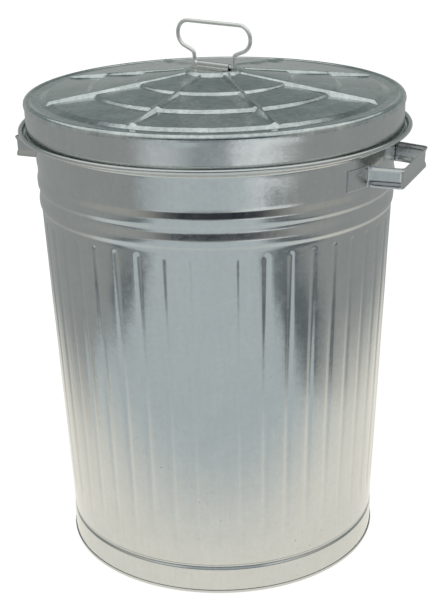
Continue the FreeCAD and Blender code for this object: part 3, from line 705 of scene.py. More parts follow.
@dataclass
class CanBody(SubAssembly):
    """The tapered body with its flutes, ring beads, curled rim and pressed bottom."""

    gauge: Gauge = field(default_factory=Gauge)
    floor_radius: float = 172.7
    neck_radius: float = 192.8
    neck_level: float = 466.0
    kick_radius: float = 174.9
    kick_height: float = 32.0
    groove_height: float = 7.0
    groove_depth: float = 1.5
    flute_count: int = 46
    flute_width: float = 10.5
    flute_depth: float = 0.9
    flute_turn: float = 1.9
    flute_low: float = 54.0
    flute_full: float = 82.0
    flute_high: float = 388.0
    flute_head: float = 370.0
    bead_low: float = 393.5
    bead_height: float = 18.5
    bead_pitch: float = 21.0
    bead_proud: float = 1.7
    bead_foot: float = 4.8
    bead_shoulders: Point2 = (8.4, 7.2)
    shoulder_slope: float = 22.0
    shoulder_bend: float = 3.0
    mouth_radius: float = 205.1
    mouth_level: float = 476.7
    curl_radius: float = 2.3
    curl_end: float = 122.0
    wire_gap: float = 0.3
    seam_width: float = 11.0
    hem_height: float = 3.4
    pan_level: float = 13.0
    pan_rib_radius: float = 128.0
    pan_rib_rise: float = 3.0
    pan_slope: float = 4.0
    pan_corner: float = 6.0
    dent: float = 0.10
    dent_pitch: float = 95.0

    def wall(self, level: np.ndarray | float) -> np.ndarray | float:
        """The plain wall's outer radius at a level."""
        return self.floor_radius + (self.neck_radius - self.floor_radius) * level / self.neck_level

    def section(self) -> np.ndarray:
        """The body's closed section.

        Returns:
            Rows of (radius, level), up the outer face and down the inner one.
        """
        kick_top = self.kick_height - self.groove_height / 2
        groove_top = self.kick_height + self.groove_height / 2
        path = Outline((self.kick_radius, self.gauge.sheet + self.gauge.rest))
        path.line((self.kick_radius, kick_top - 1.0), 8.0)
        for level in np.linspace(kick_top, groove_top, 25):
            share = (level - kick_top) / self.groove_height
            radius = self.kick_radius + (self.wall(groove_top) - self.kick_radius) * share
            path.line((radius - self.groove_depth * math.sin(math.pi * share) ** 1.6, level))
        path.line((self.wall(groove_top + 1.0), groove_top + 1.0))
        path.line((self.wall(self.flute_low), self.flute_low), 4.0)
        path.line((self.wall(self.flute_full), self.flute_full), 3.0)
        path.line((self.wall(self.flute_head), self.flute_head), 8.0)
        path.line((self.wall(self.flute_high + 2), self.flute_high + 2), 1.0)
        for number in range(2):
            low = self.bead_low + number * self.bead_pitch
            for level in np.linspace(low, low + self.bead_height, 34):
                rise = self.bead_rise(level - low, self.bead_shoulders[number])
                path.line((self.wall(level) + rise, level))
        path.line((self.neck_radius, self.neck_level), 4.0)
        bend, slope = self.shoulder_bend, self.shoulder_slope
        path.arc((self.neck_radius + bend, self.neck_level), bend, 180.0, 90.0 + slope, 6)
        outer = self.mouth_radius + self.gauge.sheet
        start = path.points[-1]
        run = outer - bend * (1 - math.sin(math.radians(slope))) - start[0]
        rise = run * math.tan(math.radians(slope))
        path.line((start[0] + run, start[1] + rise), 3.0)
        centre = (outer - bend, start[1] + rise + bend * math.cos(math.radians(slope)))
        path.arc(centre, bend, slope - 90.0, 0.0, 6)
        wire = self.mouth_radius + self.curl_radius
        inside = self.curl_radius - self.gauge.sheet
        path.line((outer, self.mouth_level), 1.5)
        path.arc((wire, self.mouth_level), inside, 180.0, -self.curl_end, 22)
        outer_face = path.array()
        inner_face = offset_line(outer_face, self.gauge.sheet)[::-1]
        return np.vstack([outer_face, inner_face])

    def bead_rise(self, height: float, shoulder: float) -> float:
        """How far a ring bead stands out at a height above its lower edge.

        Args:
            height: in millimetres.
            shoulder: the height of its upper flank.

        Returns:
            The rise of its short lower flank, flat crest and long upper flank, with rounded bends.
        """
        corners = [0.0, self.bead_foot, self.bead_height - shoulder, self.bead_height]
        around = height + np.linspace(-1.8, 1.8, 17)
        flat = np.interp(around, corners, [0.0, 0.9, 1.0, 0.0])
        return self.bead_proud * float(np.average(flat, weights=np.hanning(19)[1:-1]))

    def columns(self) -> np.ndarray:
        """The azimuths of the wall's columns, dense across each flute and on the seam's edges.

        Returns:
            Angles in radians.
        """
        pitch = 360.0 / self.flute_count
        half = math.degrees(self.flute_width / 2 / self.neck_radius)
        across = np.concatenate([np.linspace(-half, half, 11), np.linspace(half, pitch - half, 5)[1:-1]])
        turns = [self.flute_turn + number * pitch + across for number in range(self.flute_count)]
        seam = self.seam_turn()
        edge = math.degrees(self.seam_width / 2 / self.neck_radius)
        turns.append(np.array([seam + side * (edge + gap) for side in (-1, 1) for gap in (-0.06, 0.06)]))
        return np.radians(np.sort(np.concatenate(turns) % 360.0))

    def seam_turn(self) -> float:
        """The azimuth of the lapped side seam, between two flutes at the back.

        Returns:
            Degrees.
        """
        pitch = 360.0 / self.flute_count
        number = round((90.0 - self.flute_turn) / pitch - 0.5)
        return self.flute_turn + (number + 0.5) * pitch

    def relief(self, azimuth: np.ndarray, level: np.ndarray) -> np.ndarray:
        """What the flutes, the seam and slight dents add to the wall's radius.

        Args:
            azimuth: in radians.
            level: in millimetres.

        Returns:
            Millimetres outwards.
        """
        pitch = math.radians(360.0 / self.flute_count)
        turn = azimuth - math.radians(self.flute_turn)
        across = (turn - np.round(turn / pitch) * pitch) * self.wall(level)
        above = np.clip(level - (self.flute_high - self.flute_width / 2), 0.0, None)
        groove = dish(np.hypot(across, above * 0.8), self.flute_width / 2)
        groove = groove * smooth_step(self.flute_low, self.flute_full, level)
        off_seam = np.abs((azimuth - math.radians(self.seam_turn()) + math.pi) % (2 * math.pi) - math.pi)
        lap = (off_seam * self.neck_radius < self.seam_width / 2) & (level < self.neck_level - 2)
        calm = smooth_step(40.0, 90.0, level) * (1.0 - smooth_step(430.0, 455.0, level))
        dents = waves(azimuth * self.neck_radius, level, 7, 9, self.dent_pitch) * calm
        return self.gauge.sheet * lap - self.flute_depth * groove + self.dent * dents

    def build_wall(self, material: Material) -> Piece:
        """Builds the wall with its foot band, flutes, beads, shoulder and curled rim.

        Args:
            material: what it is dressed in.

        Returns:
            The piece.
        """
        grid = lathe(self.section(), self.columns(), self.relief)
        piece = Mesher.ring("body_wall", grid)
        return self.finish(piece, material, Slot.SHEET, "body_shell")

    def build_rim_wire(self, material: Material) -> Piece:
        """Builds the round wire inside the curled rim.

        Args:
            material: what it is dressed in.

        Returns:
            The piece.
        """
        radius = self.curl_radius - self.gauge.sheet - self.wire_gap
        section = Outline((radius, 0.0)).arc((0.0, 0.0), radius, 0.0, 337.5, 15).array()
        ring = section + np.array([self.mouth_radius + self.curl_radius, self.mouth_level])
        piece = Mesher.ring("rim_wire_ring", lathe(ring, even_turns(184)))
        return self.finish(piece, material, Slot.WIRE, "rim_wire")

    def build_bottom(self, material: Material) -> Piece:
        """Builds the pressed bottom, whose edge is clinched round the wall's lower edge.

        Args:
            material: what it is dressed in.

        Returns:
            The piece.
        """
        sheet, rest = self.gauge.sheet, self.gauge.rest
        hem = self.kick_radius + rest + sheet
        flange = self.kick_radius - sheet - rest
        fold = (hem - (flange - sheet)) / 2
        path = Outline((hem, self.hem_height)).line((hem, fold), 1.0)
        path.arc((hem - fold, fold), fold, 0.0, -180.0, 12)
        corner = self.pan_corner
        path.line((flange - sheet, self.pan_level - corner), 2.0)
        path.arc((flange - sheet - corner, self.pan_level - corner), corner, 0.0, 90.0, 8)
        path.line((self.pan_rib_radius, self.pan_level), 10.0)
        path.line((self.pan_rib_radius - self.pan_slope, self.pan_level + self.pan_rib_rise), 1.5)
        path.line((2.0, self.pan_level + self.pan_rib_rise), 12.0)
        under = path.array()
        inner = offset_line(under, -sheet)
        low = under[:, 1] < fold + 0.1
        inner[low, 1] = np.clip(inner[low, 1], sheet, None)
        grid = lathe(np.vstack([under[::-1], inner]), even_turns(276))
        poles = np.array([[0.0, 0.0, under[-1, 1]], [0.0, 0.0, inner[-1, 1]]])
        piece = Mesher.disc("bottom_pressing", grid, *poles)
        return self.finish(piece, material, Slot.SHEET, "bottom_pan")

    def build(self, sheet: Material, wire: Material) -> None:
        """Builds every piece of the body.

        Args:
            sheet: the finish of the wall and the bottom.
            wire: the finish of the rim's wire.
        """
        self.build_wall(sheet)
        self.build_rim_wire(wire)
        self.build_bottom(sheet)


@dataclass
class StrapHandle(SubAssembly):
    """A pressed strap handle, with a channelled grip and two feet spot-welded to the wall."""

    name: str
    azimuth: float
    wall_radius: float
    taper: float
    gauge: Gauge = field(default_factory=Gauge)
    level: float = 445.7
    height: float = 21.6
    dish_depth: float = 1.6
    web_top: float = 5.6
    lip: Point2 = (-9.0, -3.6)
    edge_ease: float = 0.35
    grip_reach: float = 221.5
    grip_half: float = 49.5
    arm_half: float = 54.1
    grip_bend: float = 3.5
    foot_bend: float = 2.2
    foot_angle: float = 25.5
    welds: tuple[Point2, ...] = ((20.0, 4.5), (22.6, -4.5))
    weld_radius: float = 2.6
    weld_depth: float = 0.35

    def path(self) -> tuple[np.ndarray, np.ndarray]:
        """The strap's inner face in plan, from one foot's end to the other's.

        Returns:
            Rows of (x, y), and for each the share of the channel that is formed there.
        """
        seat = self.wall_radius + self.gauge.rest
        proud = self.gauge.strap + self.dish_depth
        grip_x = self.grip_reach - proud
        grip_y = self.grip_half - proud
        root_y = self.arm_half - proud
        bend = self.grip_bend
        turn_in = self.foot_bend + self.gauge.strap
        root_turn = math.asin((root_y + turn_in) / seat)
        half = Outline((grip_x, 0.0))
        half.line((grip_x, grip_y - bend), 2.5)
        lean = math.atan2(root_y - grip_y, grip_x - seat * math.cos(root_turn))
        half.arc((grip_x - bend, grip_y - bend), bend, 0.0, 90.0 - math.degrees(lean), 8)
        corner = (seat * math.cos(root_turn) + turn_in, root_y + 0.2)
        half.line(corner, 1.5)
        formed = [1.0] * len(half.points)
        half.arc((corner[0], corner[1] + turn_in), turn_in, -90.0, -180.0 + math.degrees(root_turn), 6)
        foot_end = math.radians(self.foot_angle)
        for turn in np.linspace(root_turn + 0.004, foot_end, 40):
            half.line((seat * math.cos(turn), seat * math.sin(turn)))
        points = half.array()
        formed += [0.0] * (len(points) - len(formed))
        share = smoothed(formed, 11)
        mirrored = points[1:][::-1] * np.array([1.0, -1.0])
        return np.vstack([points[::-1], mirrored[::-1]]), np.concatenate([share[::-1], share[1:]])

    def section(self) -> tuple[np.ndarray, np.ndarray]:
        """The strap's section.

        Returns:
            Heights from its middle and how far the channel stands out there, as shares of its depth.
        """
        half = self.height / 2
        heights = np.linspace(-half, half, 45)
        upper = smooth_step(self.web_top, half - 0.6, heights)
        lower = smooth_step(*self.lip, heights)
        return heights, np.maximum(upper, 1.0 - lower)

    def build(self, material: Material) -> Piece:
        """Builds the handle.

        Args:
            material: what it is dressed in.

        Returns:
            The piece.
        """
        path, share = self.path()
        side = left_of(np.gradient(path, axis=0))
        heights, out = self.section()
        weld = self.weld_dimples(path, heights)
        inner = share[:, None] * out[None] * self.dish_depth
        outer = inner + self.gauge.strap - weld
        ease = self.edge_ease * (np.abs(heights) > self.height / 2 - 0.3)
        faces = []
        for offset in (outer - ease, (inner + ease)[:, ::-1]):
            faces.append(path[:, None] + side[:, None] * offset[..., None])
        levels = np.concatenate([heights, heights[::-1]])
        plan = np.concatenate(faces, axis=1)
        grid = np.dstack([plan, np.repeat(levels[None], len(path), axis=0)])
        piece = Mesher.tube(self.name, self.place(grid), False, 50.0)
        return self.finish(piece, material, Slot.STRAP, self.name.replace("strap_", "handle_"))

    def weld_dimples(self, path: np.ndarray, heights: np.ndarray) -> np.ndarray:
        """The depth of the spot welds over the strap.

        Args:
            path: the strap's plan.
            heights: the section's heights.

        Returns:
            Rows along the path by columns across it.
        """
        turn = np.arctan2(path[:, 1], path[:, 0])
        on_wall = np.hypot(path[:, 0], path[:, 1]) < self.wall_radius + 1.0
        arc = np.where(on_wall, turn, 9.0) * self.wall_radius
        depth = np.zeros((len(path), len(heights)))
        for side in (-1.0, 1.0):
            for degrees, height in self.welds:
                middle = side * math.radians(degrees) * self.wall_radius
                away = np.hypot(arc[:, None] - middle, heights[None] - height)
                depth += self.weld_depth * dish(away, self.weld_radius)
        return depth

    def place(self, grid: np.ndarray) -> np.ndarray:
        """Leans the strap against the wall's taper and turns it to its side of the can.

        Args:
            grid: points with their height counted from the strap's middle.

        Returns:
            The points in the row frame.
        """
        lean = math.radians(self.taper)
        out = grid[..., 0] - self.wall_radius
        x = self.wall_radius + out * math.cos(lean) + grid[..., 2] * math.sin(lean)
        z = self.level - out * math.sin(lean) + grid[..., 2] * math.cos(lean)
        return spin(np.stack([x, grid[..., 1], z], axis=-1), self.azimuth)


@dataclass
class Lid(SubAssembly):
    """The loose lid: a pressed panel with ridges and steps, its skirt and the clip on its seat."""

    body: Body = Body.LID
    gauge: Gauge = field(default_factory=Gauge)
    turn: float = -3.8
    clip_turn: float = -11.4
    radius: float = 202.5
    top: float = 509.99
    skirt_height: float = 37.5
    edge_drop: float = 6.4
    edge_round: float = 4.6
    annulus_drop: float = 1.2
    annulus_edge: float = 193.5
    ridge_count: int = 8
    apex_rise: float = 25.96
    ridge_fall: float = 0.1233
    crest_half: float = 0.7
    inner_flank: float = 2.9
    outer_flank: float = 5.0
    boss_radius: float = 28.0
    boss_foot: float = 33.5
    boss_rise: float = 24.2
    first_edge: float = 80.7
    second_edge: float = 129.3
    third_edge: float = 177.5
    inner_drops: Point2 = (1.3, 1.4)
    middle_drops: Point2 = (3.4, 2.0)
    outer_drops: Point2 = (4.3, 2.3)
    first_foot: float = 84.57
    second_foot: float = 134.3
    third_foot: float = 184.9
    panel_dent: float = 0.08
    skirt_dent: float = 0.16
    hem: float = 6.0
    flange: float = 1.0
    clip_reach: float = 12.5
    clip_rise: float = 3.0
    clip_bore: float = 2.3
    clip_fold: float = 1.0
    clip_halves: tuple[Point2, ...] = ((0.0, 20.5), (3.6, 20.5), (5.2, 23.0), (10.0, 23.0), (12.5, 20.3))
    clip_welds: tuple[float, ...] = (-18.0, 0.0, 18.0)
    weld_across: float = 8.3
    weld_radius: float = 2.4
    weld_depth: float = 0.3

    def crest(self, radius: np.ndarray | float) -> np.ndarray | float:
        """The level of the ridges' crests at a radius."""
        return self.top + self.apex_rise - self.ridge_fall * radius

    def stations(self) -> np.ndarray:
        """Where the stepped panels begin and end.

        Returns:
            Rows of (radius, drop below the crest line).
        """
        annulus = self.top - self.annulus_drop
        boss = self.top + self.boss_rise
        return np.array([
            (0.0, self.crest(0.0) - boss), (self.boss_radius, self.crest(self.boss_radius) - boss),
            (self.boss_foot, self.inner_drops[0]), (self.first_edge, self.inner_drops[1]),
            (self.first_foot, self.middle_drops[0]), (self.second_edge, self.middle_drops[1]),
            (self.second_foot, self.outer_drops[0]), (self.third_edge, self.outer_drops[1]),
            (self.third_foot, self.crest(self.third_foot) - annulus),
            (self.annulus_edge, self.crest(self.annulus_edge) - annulus),
        ])

    def panel_level(self, radius: np.ndarray, across: np.ndarray) -> np.ndarray:
        """The level of the panel's upper face.

        Args:
            radius: the distance from the lid's axis.
            across: the distance from the nearest ridge's line.

        Returns:
            Levels in millimetres.
        """
        stations = self.stations()
        ruler = np.arange(0.0, 200.0, 0.1)
        level = self.crest(ruler) - np.interp(ruler, stations[:, 0], stations[:, 1])
        base = np.interp(radius, ruler, smoothed(level, 23))
        crest = self.crest(radius)
        flank = self.inner_flank + (self.outer_flank - self.inner_flank) * smooth_step(
            self.first_edge - 1.0, self.first_edge + 4.0, radius)
        fall = np.clip(crest - base, 0.3, None) / (flank - self.crest_half)
        rounded = np.sqrt(across ** 2 + 0.3) - 0.35
        ridge = crest - fall * np.clip(rounded - self.crest_half * 0.5, 0.0, None)
        ends = smooth_step(self.third_edge + 1.0, self.third_foot - 0.5, radius)
        ridge = ridge - ends * (crest - base) * 1.2
        return soft_max(base, ridge, 0.35)

    def columns(self, radius: float) -> tuple[np.ndarray, np.ndarray]:
        """The panel's columns at a radius, dense along both sides of every ridge.

        Args:
            radius: the row's distance from the axis.

        Returns:
            Azimuths in radians, and each one's distance from its ridge's line.
        """
        side = np.array([0.0, 0.5, 1.0, 1.6, 2.2, 2.8, 3.5, 4.3, 5.1, 5.9, 7.0])
        held = max(radius, 30.0)
        pitch = 2.0 * math.pi / self.ridge_count
        near = side / held
        between = np.linspace(near[-1], pitch - near[-1], 11)[1:-1]
        sector = np.concatenate([near, between, (pitch - near[::-1])[:-1]])
        turns = np.concatenate([sector + number * pitch for number in range(self.ridge_count)])
        from_ridge = (turns + pitch / 2) % pitch - pitch / 2
        return turns, np.abs(from_ridge) * radius

    def panel_rows(self) -> tuple[np.ndarray, np.ndarray]:
        """The rows of the panel's upper face.

        Returns:
            The radii of the flat part's rows, and the (radius, level) rows of the rolled edge.
        """
        stations = self.stations()[:, 0]
        ruler = np.arange(4.0, self.annulus_edge, 0.8)
        near = np.min(np.abs(ruler[:, None] - stations[None, 1:]), axis=1)
        coarse = (np.arange(len(ruler)) % 4 == 0) | (near < 3.2)
        inside = (ruler > self.boss_foot + 2) | (near < 3.2) | (np.arange(len(ruler)) % 8 == 0)
        flat = ruler[coarse & inside]
        centre = (self.radius - self.edge_round, self.top - self.edge_round)
        swell = ((self.annulus_edge + centre[0]) / 2, self.top - self.annulus_drop / 4)
        edge = Outline((self.annulus_edge, self.top - self.annulus_drop))
        edge.line((self.annulus_edge + 1.0, self.top - self.annulus_drop * 0.82))
        edge.line(swell, 1.0).line((centre[0] - 0.6, self.top - 0.02), 0.8)
        edge.arc(centre, self.edge_round, 90.0, 0.0, 12)
        edge.line((self.radius, self.top - self.edge_drop), 0.6)
        return flat, edge.array()

    def build_panel(self, material: Material) -> Piece:
        """Builds the pressed panel with its rolled edge.

        Args:
            material: what it is dressed in.

        Returns:
            The piece.
        """
        flat, edge = self.panel_rows()
        rows = []
        for radius in flat:
            turns, across = self.columns(radius)
            level = self.panel_level(np.full_like(turns, radius), across)
            x, y = radius * np.cos(turns), radius * np.sin(turns)
            rows.append(np.stack([x, y, level + self.panel_dent * waves(x, y, 3, 8, 70.0)], axis=1))
        turns, _ = self.columns(self.annulus_edge)
        rim = lathe(edge, turns)
        thick = np.array([0.0, 0.0, self.gauge.sheet])
        upper = np.concatenate([np.array(rows), rim])
        lower = np.concatenate([np.array(rows) - thick, lathe(offset_line(edge, -self.gauge.sheet), turns)])
        grid = spin(np.concatenate([upper, lower[::-1]]), self.turn)
        pole = np.array([0.0, 0.0, self.top + self.boss_rise])
        piece = Mesher.disc("lid_pressing", grid, pole, pole - thick)
        return self.finish(piece, material, Slot.SHEET, "lid_panel")

    def build_skirt(self, material: Material) -> Piece:
        """Builds the lid's band, hemmed inwards below and flanged under the panel above.

        Args:
            material: what it is dressed in.

        Returns:
            The piece.
        """
        sheet, rest = self.gauge.sheet, self.gauge.rest
        face = self.radius - sheet - rest
        low = self.top - self.skirt_height
        curve = self.edge_round - sheet - rest
        top = self.top - sheet - rest
        path = Outline((face - 2 * sheet, low + self.hem)).line((face - 2 * sheet, low + sheet), 1.4)
        path.arc((face - sheet, low + sheet), sheet, 180.0, 360.0, 10)
        path.line((face, top - curve), 2.5)
        path.arc((face - curve, top - curve), curve, 0.0, 90.0, 8)
        path.line((face - curve - self.flange, top))
        path.line((face - curve - self.flange, top - sheet))
        path.arc((face - curve, top - curve), curve - sheet, 90.0, 0.0, 8)
        path.line((face - sheet, low + self.hem + 0.6), 8.0)
        grid = lathe(path.array(), even_turns(368), self.skirt_relief)
        piece = Mesher.ring("lid_band", spin(grid, self.turn))
        return self.finish(piece, material, Slot.SHEET, "lid_skirt")

    def skirt_relief(self, azimuth: np.ndarray, level: np.ndarray) -> np.ndarray:
        """The band's slight unevenness between its two stiff edges.

        Args:
            azimuth: in radians.
            level: in millimetres.

        Returns:
            Millimetres outwards.
        """
        low = self.top - self.skirt_height
        upper = smooth_step(self.top - 12.0, self.top - 4.0, level)
        calm = smooth_step(low, low + 10.0, level) * (1.0 - upper)
        return self.skirt_dent * calm * (waves(azimuth * self.radius, level * 0.6, 21, 7, 80.0) - 1.2)

    def clip_section(self) -> np.ndarray:
        """The clip's sheet, seen along the wire: back flange, barrel and front flange.

        Returns:
            Rows of (across, height) of the sheet's upper face, with the height counted from the seat.
        """
        thick = self.gauge.clip
        rise, barrel = self.clip_rise, self.clip_bore + thick
        fold = self.clip_fold
        path = Outline((-self.clip_reach, thick)).line((-barrel - fold, thick), 1.2)
        path.arc((-barrel - fold, thick + fold), fold, -90.0, 0.0, 5)
        path.line((-barrel, rise), 0.5)
        path.arc((0.0, rise), barrel, 180.0, 0.0, 20)
        path.line((barrel, thick + fold), 0.5)
        path.arc((barrel + fold, thick + fold), fold, 180.0, 270.0, 5)
        path.line((self.clip_reach, thick), 1.2)
        return path.array()

    def build_clip(self, material: Material) -> Piece:
        """Builds the saddle that holds the loop, spot-welded to the lid's seat.

        Args:
            material: what it is dressed in.

        Returns:
            The piece.
        """
        upper = self.clip_section()
        lower = offset_line(upper, -self.gauge.clip)
        half = np.interp(np.abs(upper[:, 0]), *np.transpose(self.clip_halves))
        along = np.linspace(-1.0, 1.0, 93)
        reach = half[None] * along[:, None]
        weld = np.zeros((len(along), len(upper)))
        for across in (-self.weld_across, self.weld_across):
            for middle in self.clip_welds:
                away = np.hypot(reach - middle, upper[None, :, 0] - across)
                weld += self.weld_depth * dish(away, self.weld_radius)
        faces = []
        for sheet, hollow in ((upper, weld), (lower, np.zeros_like(weld))):
            across = np.repeat(sheet[None, :, 0], len(along), 0)
            faces.append(np.dstack([reach, across, sheet[None, :, 1] - hollow]))
        grid = np.concatenate([faces[0], faces[1][:, ::-1]], axis=1)
        piece = Mesher.tube("loop_clip", self.on_seat(grid, 0.0), False, 50.0)
        return self.finish(piece, material, Slot.STRAP, "lid_clip")

    def on_seat(self, grid: np.ndarray, rise: float) -> np.ndarray:
        """Puts points from the clip's own axes on the lid's seat.

        Args:
            grid: points along the wire, across it and up.
            rise: how far above the seat their origin lies.

        Returns:
            The points in the row frame.
        """
        level = self.top + self.boss_rise + rise
        return spin(grid, self.turn + self.clip_turn) + np.array([0.0, 0.0, level])

    def build(self, panel: Material, band: Material, strap: Material) -> None:
        """Builds every piece of the lid.

        Args:
            panel: the finish of the pressed panel.
            band: the finish of the skirt.
            strap: the finish of the clip.
        """
        self.build_panel(panel)
        self.build_skirt(band)
        self.build_clip(strap)


@dataclass
class WireLoop(SubAssembly):
    """The folding loop of round wire on the lid."""

    lid: Lid
    body: Body = Body.LOOP
    radius: float = 2.0
    rise: float = 3.0
    leg_half: float = 26.1
    leg_bend: float = 4.0
    throat_bend: float = 6.0
    slant: float = 21.0
    shoulder_half: float = 34.0
    shoulder_rise: float = 30.19
    shoulder_radius: float = 13.9

    def path(self) -> np.ndarray:
        """The wire's closed centre line.

        Returns:
            Rows of (along the lower bar, up from it).
        """
        slant = math.radians(self.slant)
        centre = (self.shoulder_half, self.shoulder_rise)
        reach = self.shoulder_radius
        low = (centre[0] + reach * math.sin(slant), centre[1] - reach * math.cos(slant))
        corner = low[1] - (low[0] - self.leg_half) * math.tan(slant)
        cut = self.throat_bend * math.tan((math.pi / 2 - slant) / 2)
        throat = (self.leg_half + self.throat_bend, corner - cut)
        half = Outline((0.0, 0.0)).line((self.leg_half - self.leg_bend, 0.0), 3.0)
        half.arc((self.leg_half - self.leg_bend, self.leg_bend), self.leg_bend, -90.0, 0.0, 8)
        half.line((self.leg_half, throat[1]), 1.5)
        half.arc(throat, self.throat_bend, 180.0, 90.0 + self.slant, 8)
        half.line(low, 2.0)
        half.arc(centre, self.shoulder_radius, self.slant - 90.0, 90.0, 26)
        half.line((0.0, centre[1] + self.shoulder_radius), 3.0)
        right = half.array()
        left = right[1:-1][::-1] * np.array([-1.0, 1.0])
        return np.vstack([right, left])

    def build(self, material: Material) -> Piece:
        """Builds the loop.

        Args:
            material: what it is dressed in.

        Returns:
            The piece.
        """
        path = self.path()
        side = left_of(np.roll(path, -1, axis=0) - np.roll(path, 1, axis=0))
        turns = even_turns(20)
        ring = self.radius * np.stack([np.cos(turns), np.sin(turns)], axis=1)
        plan = path[:, None] + side[:, None] * ring[None, :, :1]
        grid = np.dstack([plan[..., 0], np.repeat(ring[None, :, 1], len(path), 0), plan[..., 1]])
        piece = Mesher.tube("wire_loop", self.lid.on_seat(grid, self.rise), True)
        return self.finish(piece, material, Slot.WIRE, "lid_handle")


# ---------------------------------------------------------------- studio


@dataclass(frozen=True)
class FloorPatch:
    """A soft-edged rectangle of the studio floor, in metres aside from and ahead of the can."""

    aside: Point2
    ahead: Point2
    soft: float
    colour: Triple

    def mask(self, nodes: Nodes, aside: Socket,
             ahead: Socket) -> Socket:
        """Where the patch lies.

        Args:
            nodes: the floor's shader.
            aside: the place to the right of the can.
            ahead: the place behind the can.

        Returns:
            A mask that is 1 inside the patch.
        """
        sides = []
        for value, (low, high) in ((aside, self.aside), (ahead, self.ahead)):
            sides.append(nodes.remap(value, (low - self.soft, low + self.soft)))
            sides.append(nodes.remap(value, (high - self.soft, high + self.soft), (1.0, 0.0)))
        return nodes.times(nodes.times(sides[0], sides[1]), nodes.times(sides[2], sides[3]))


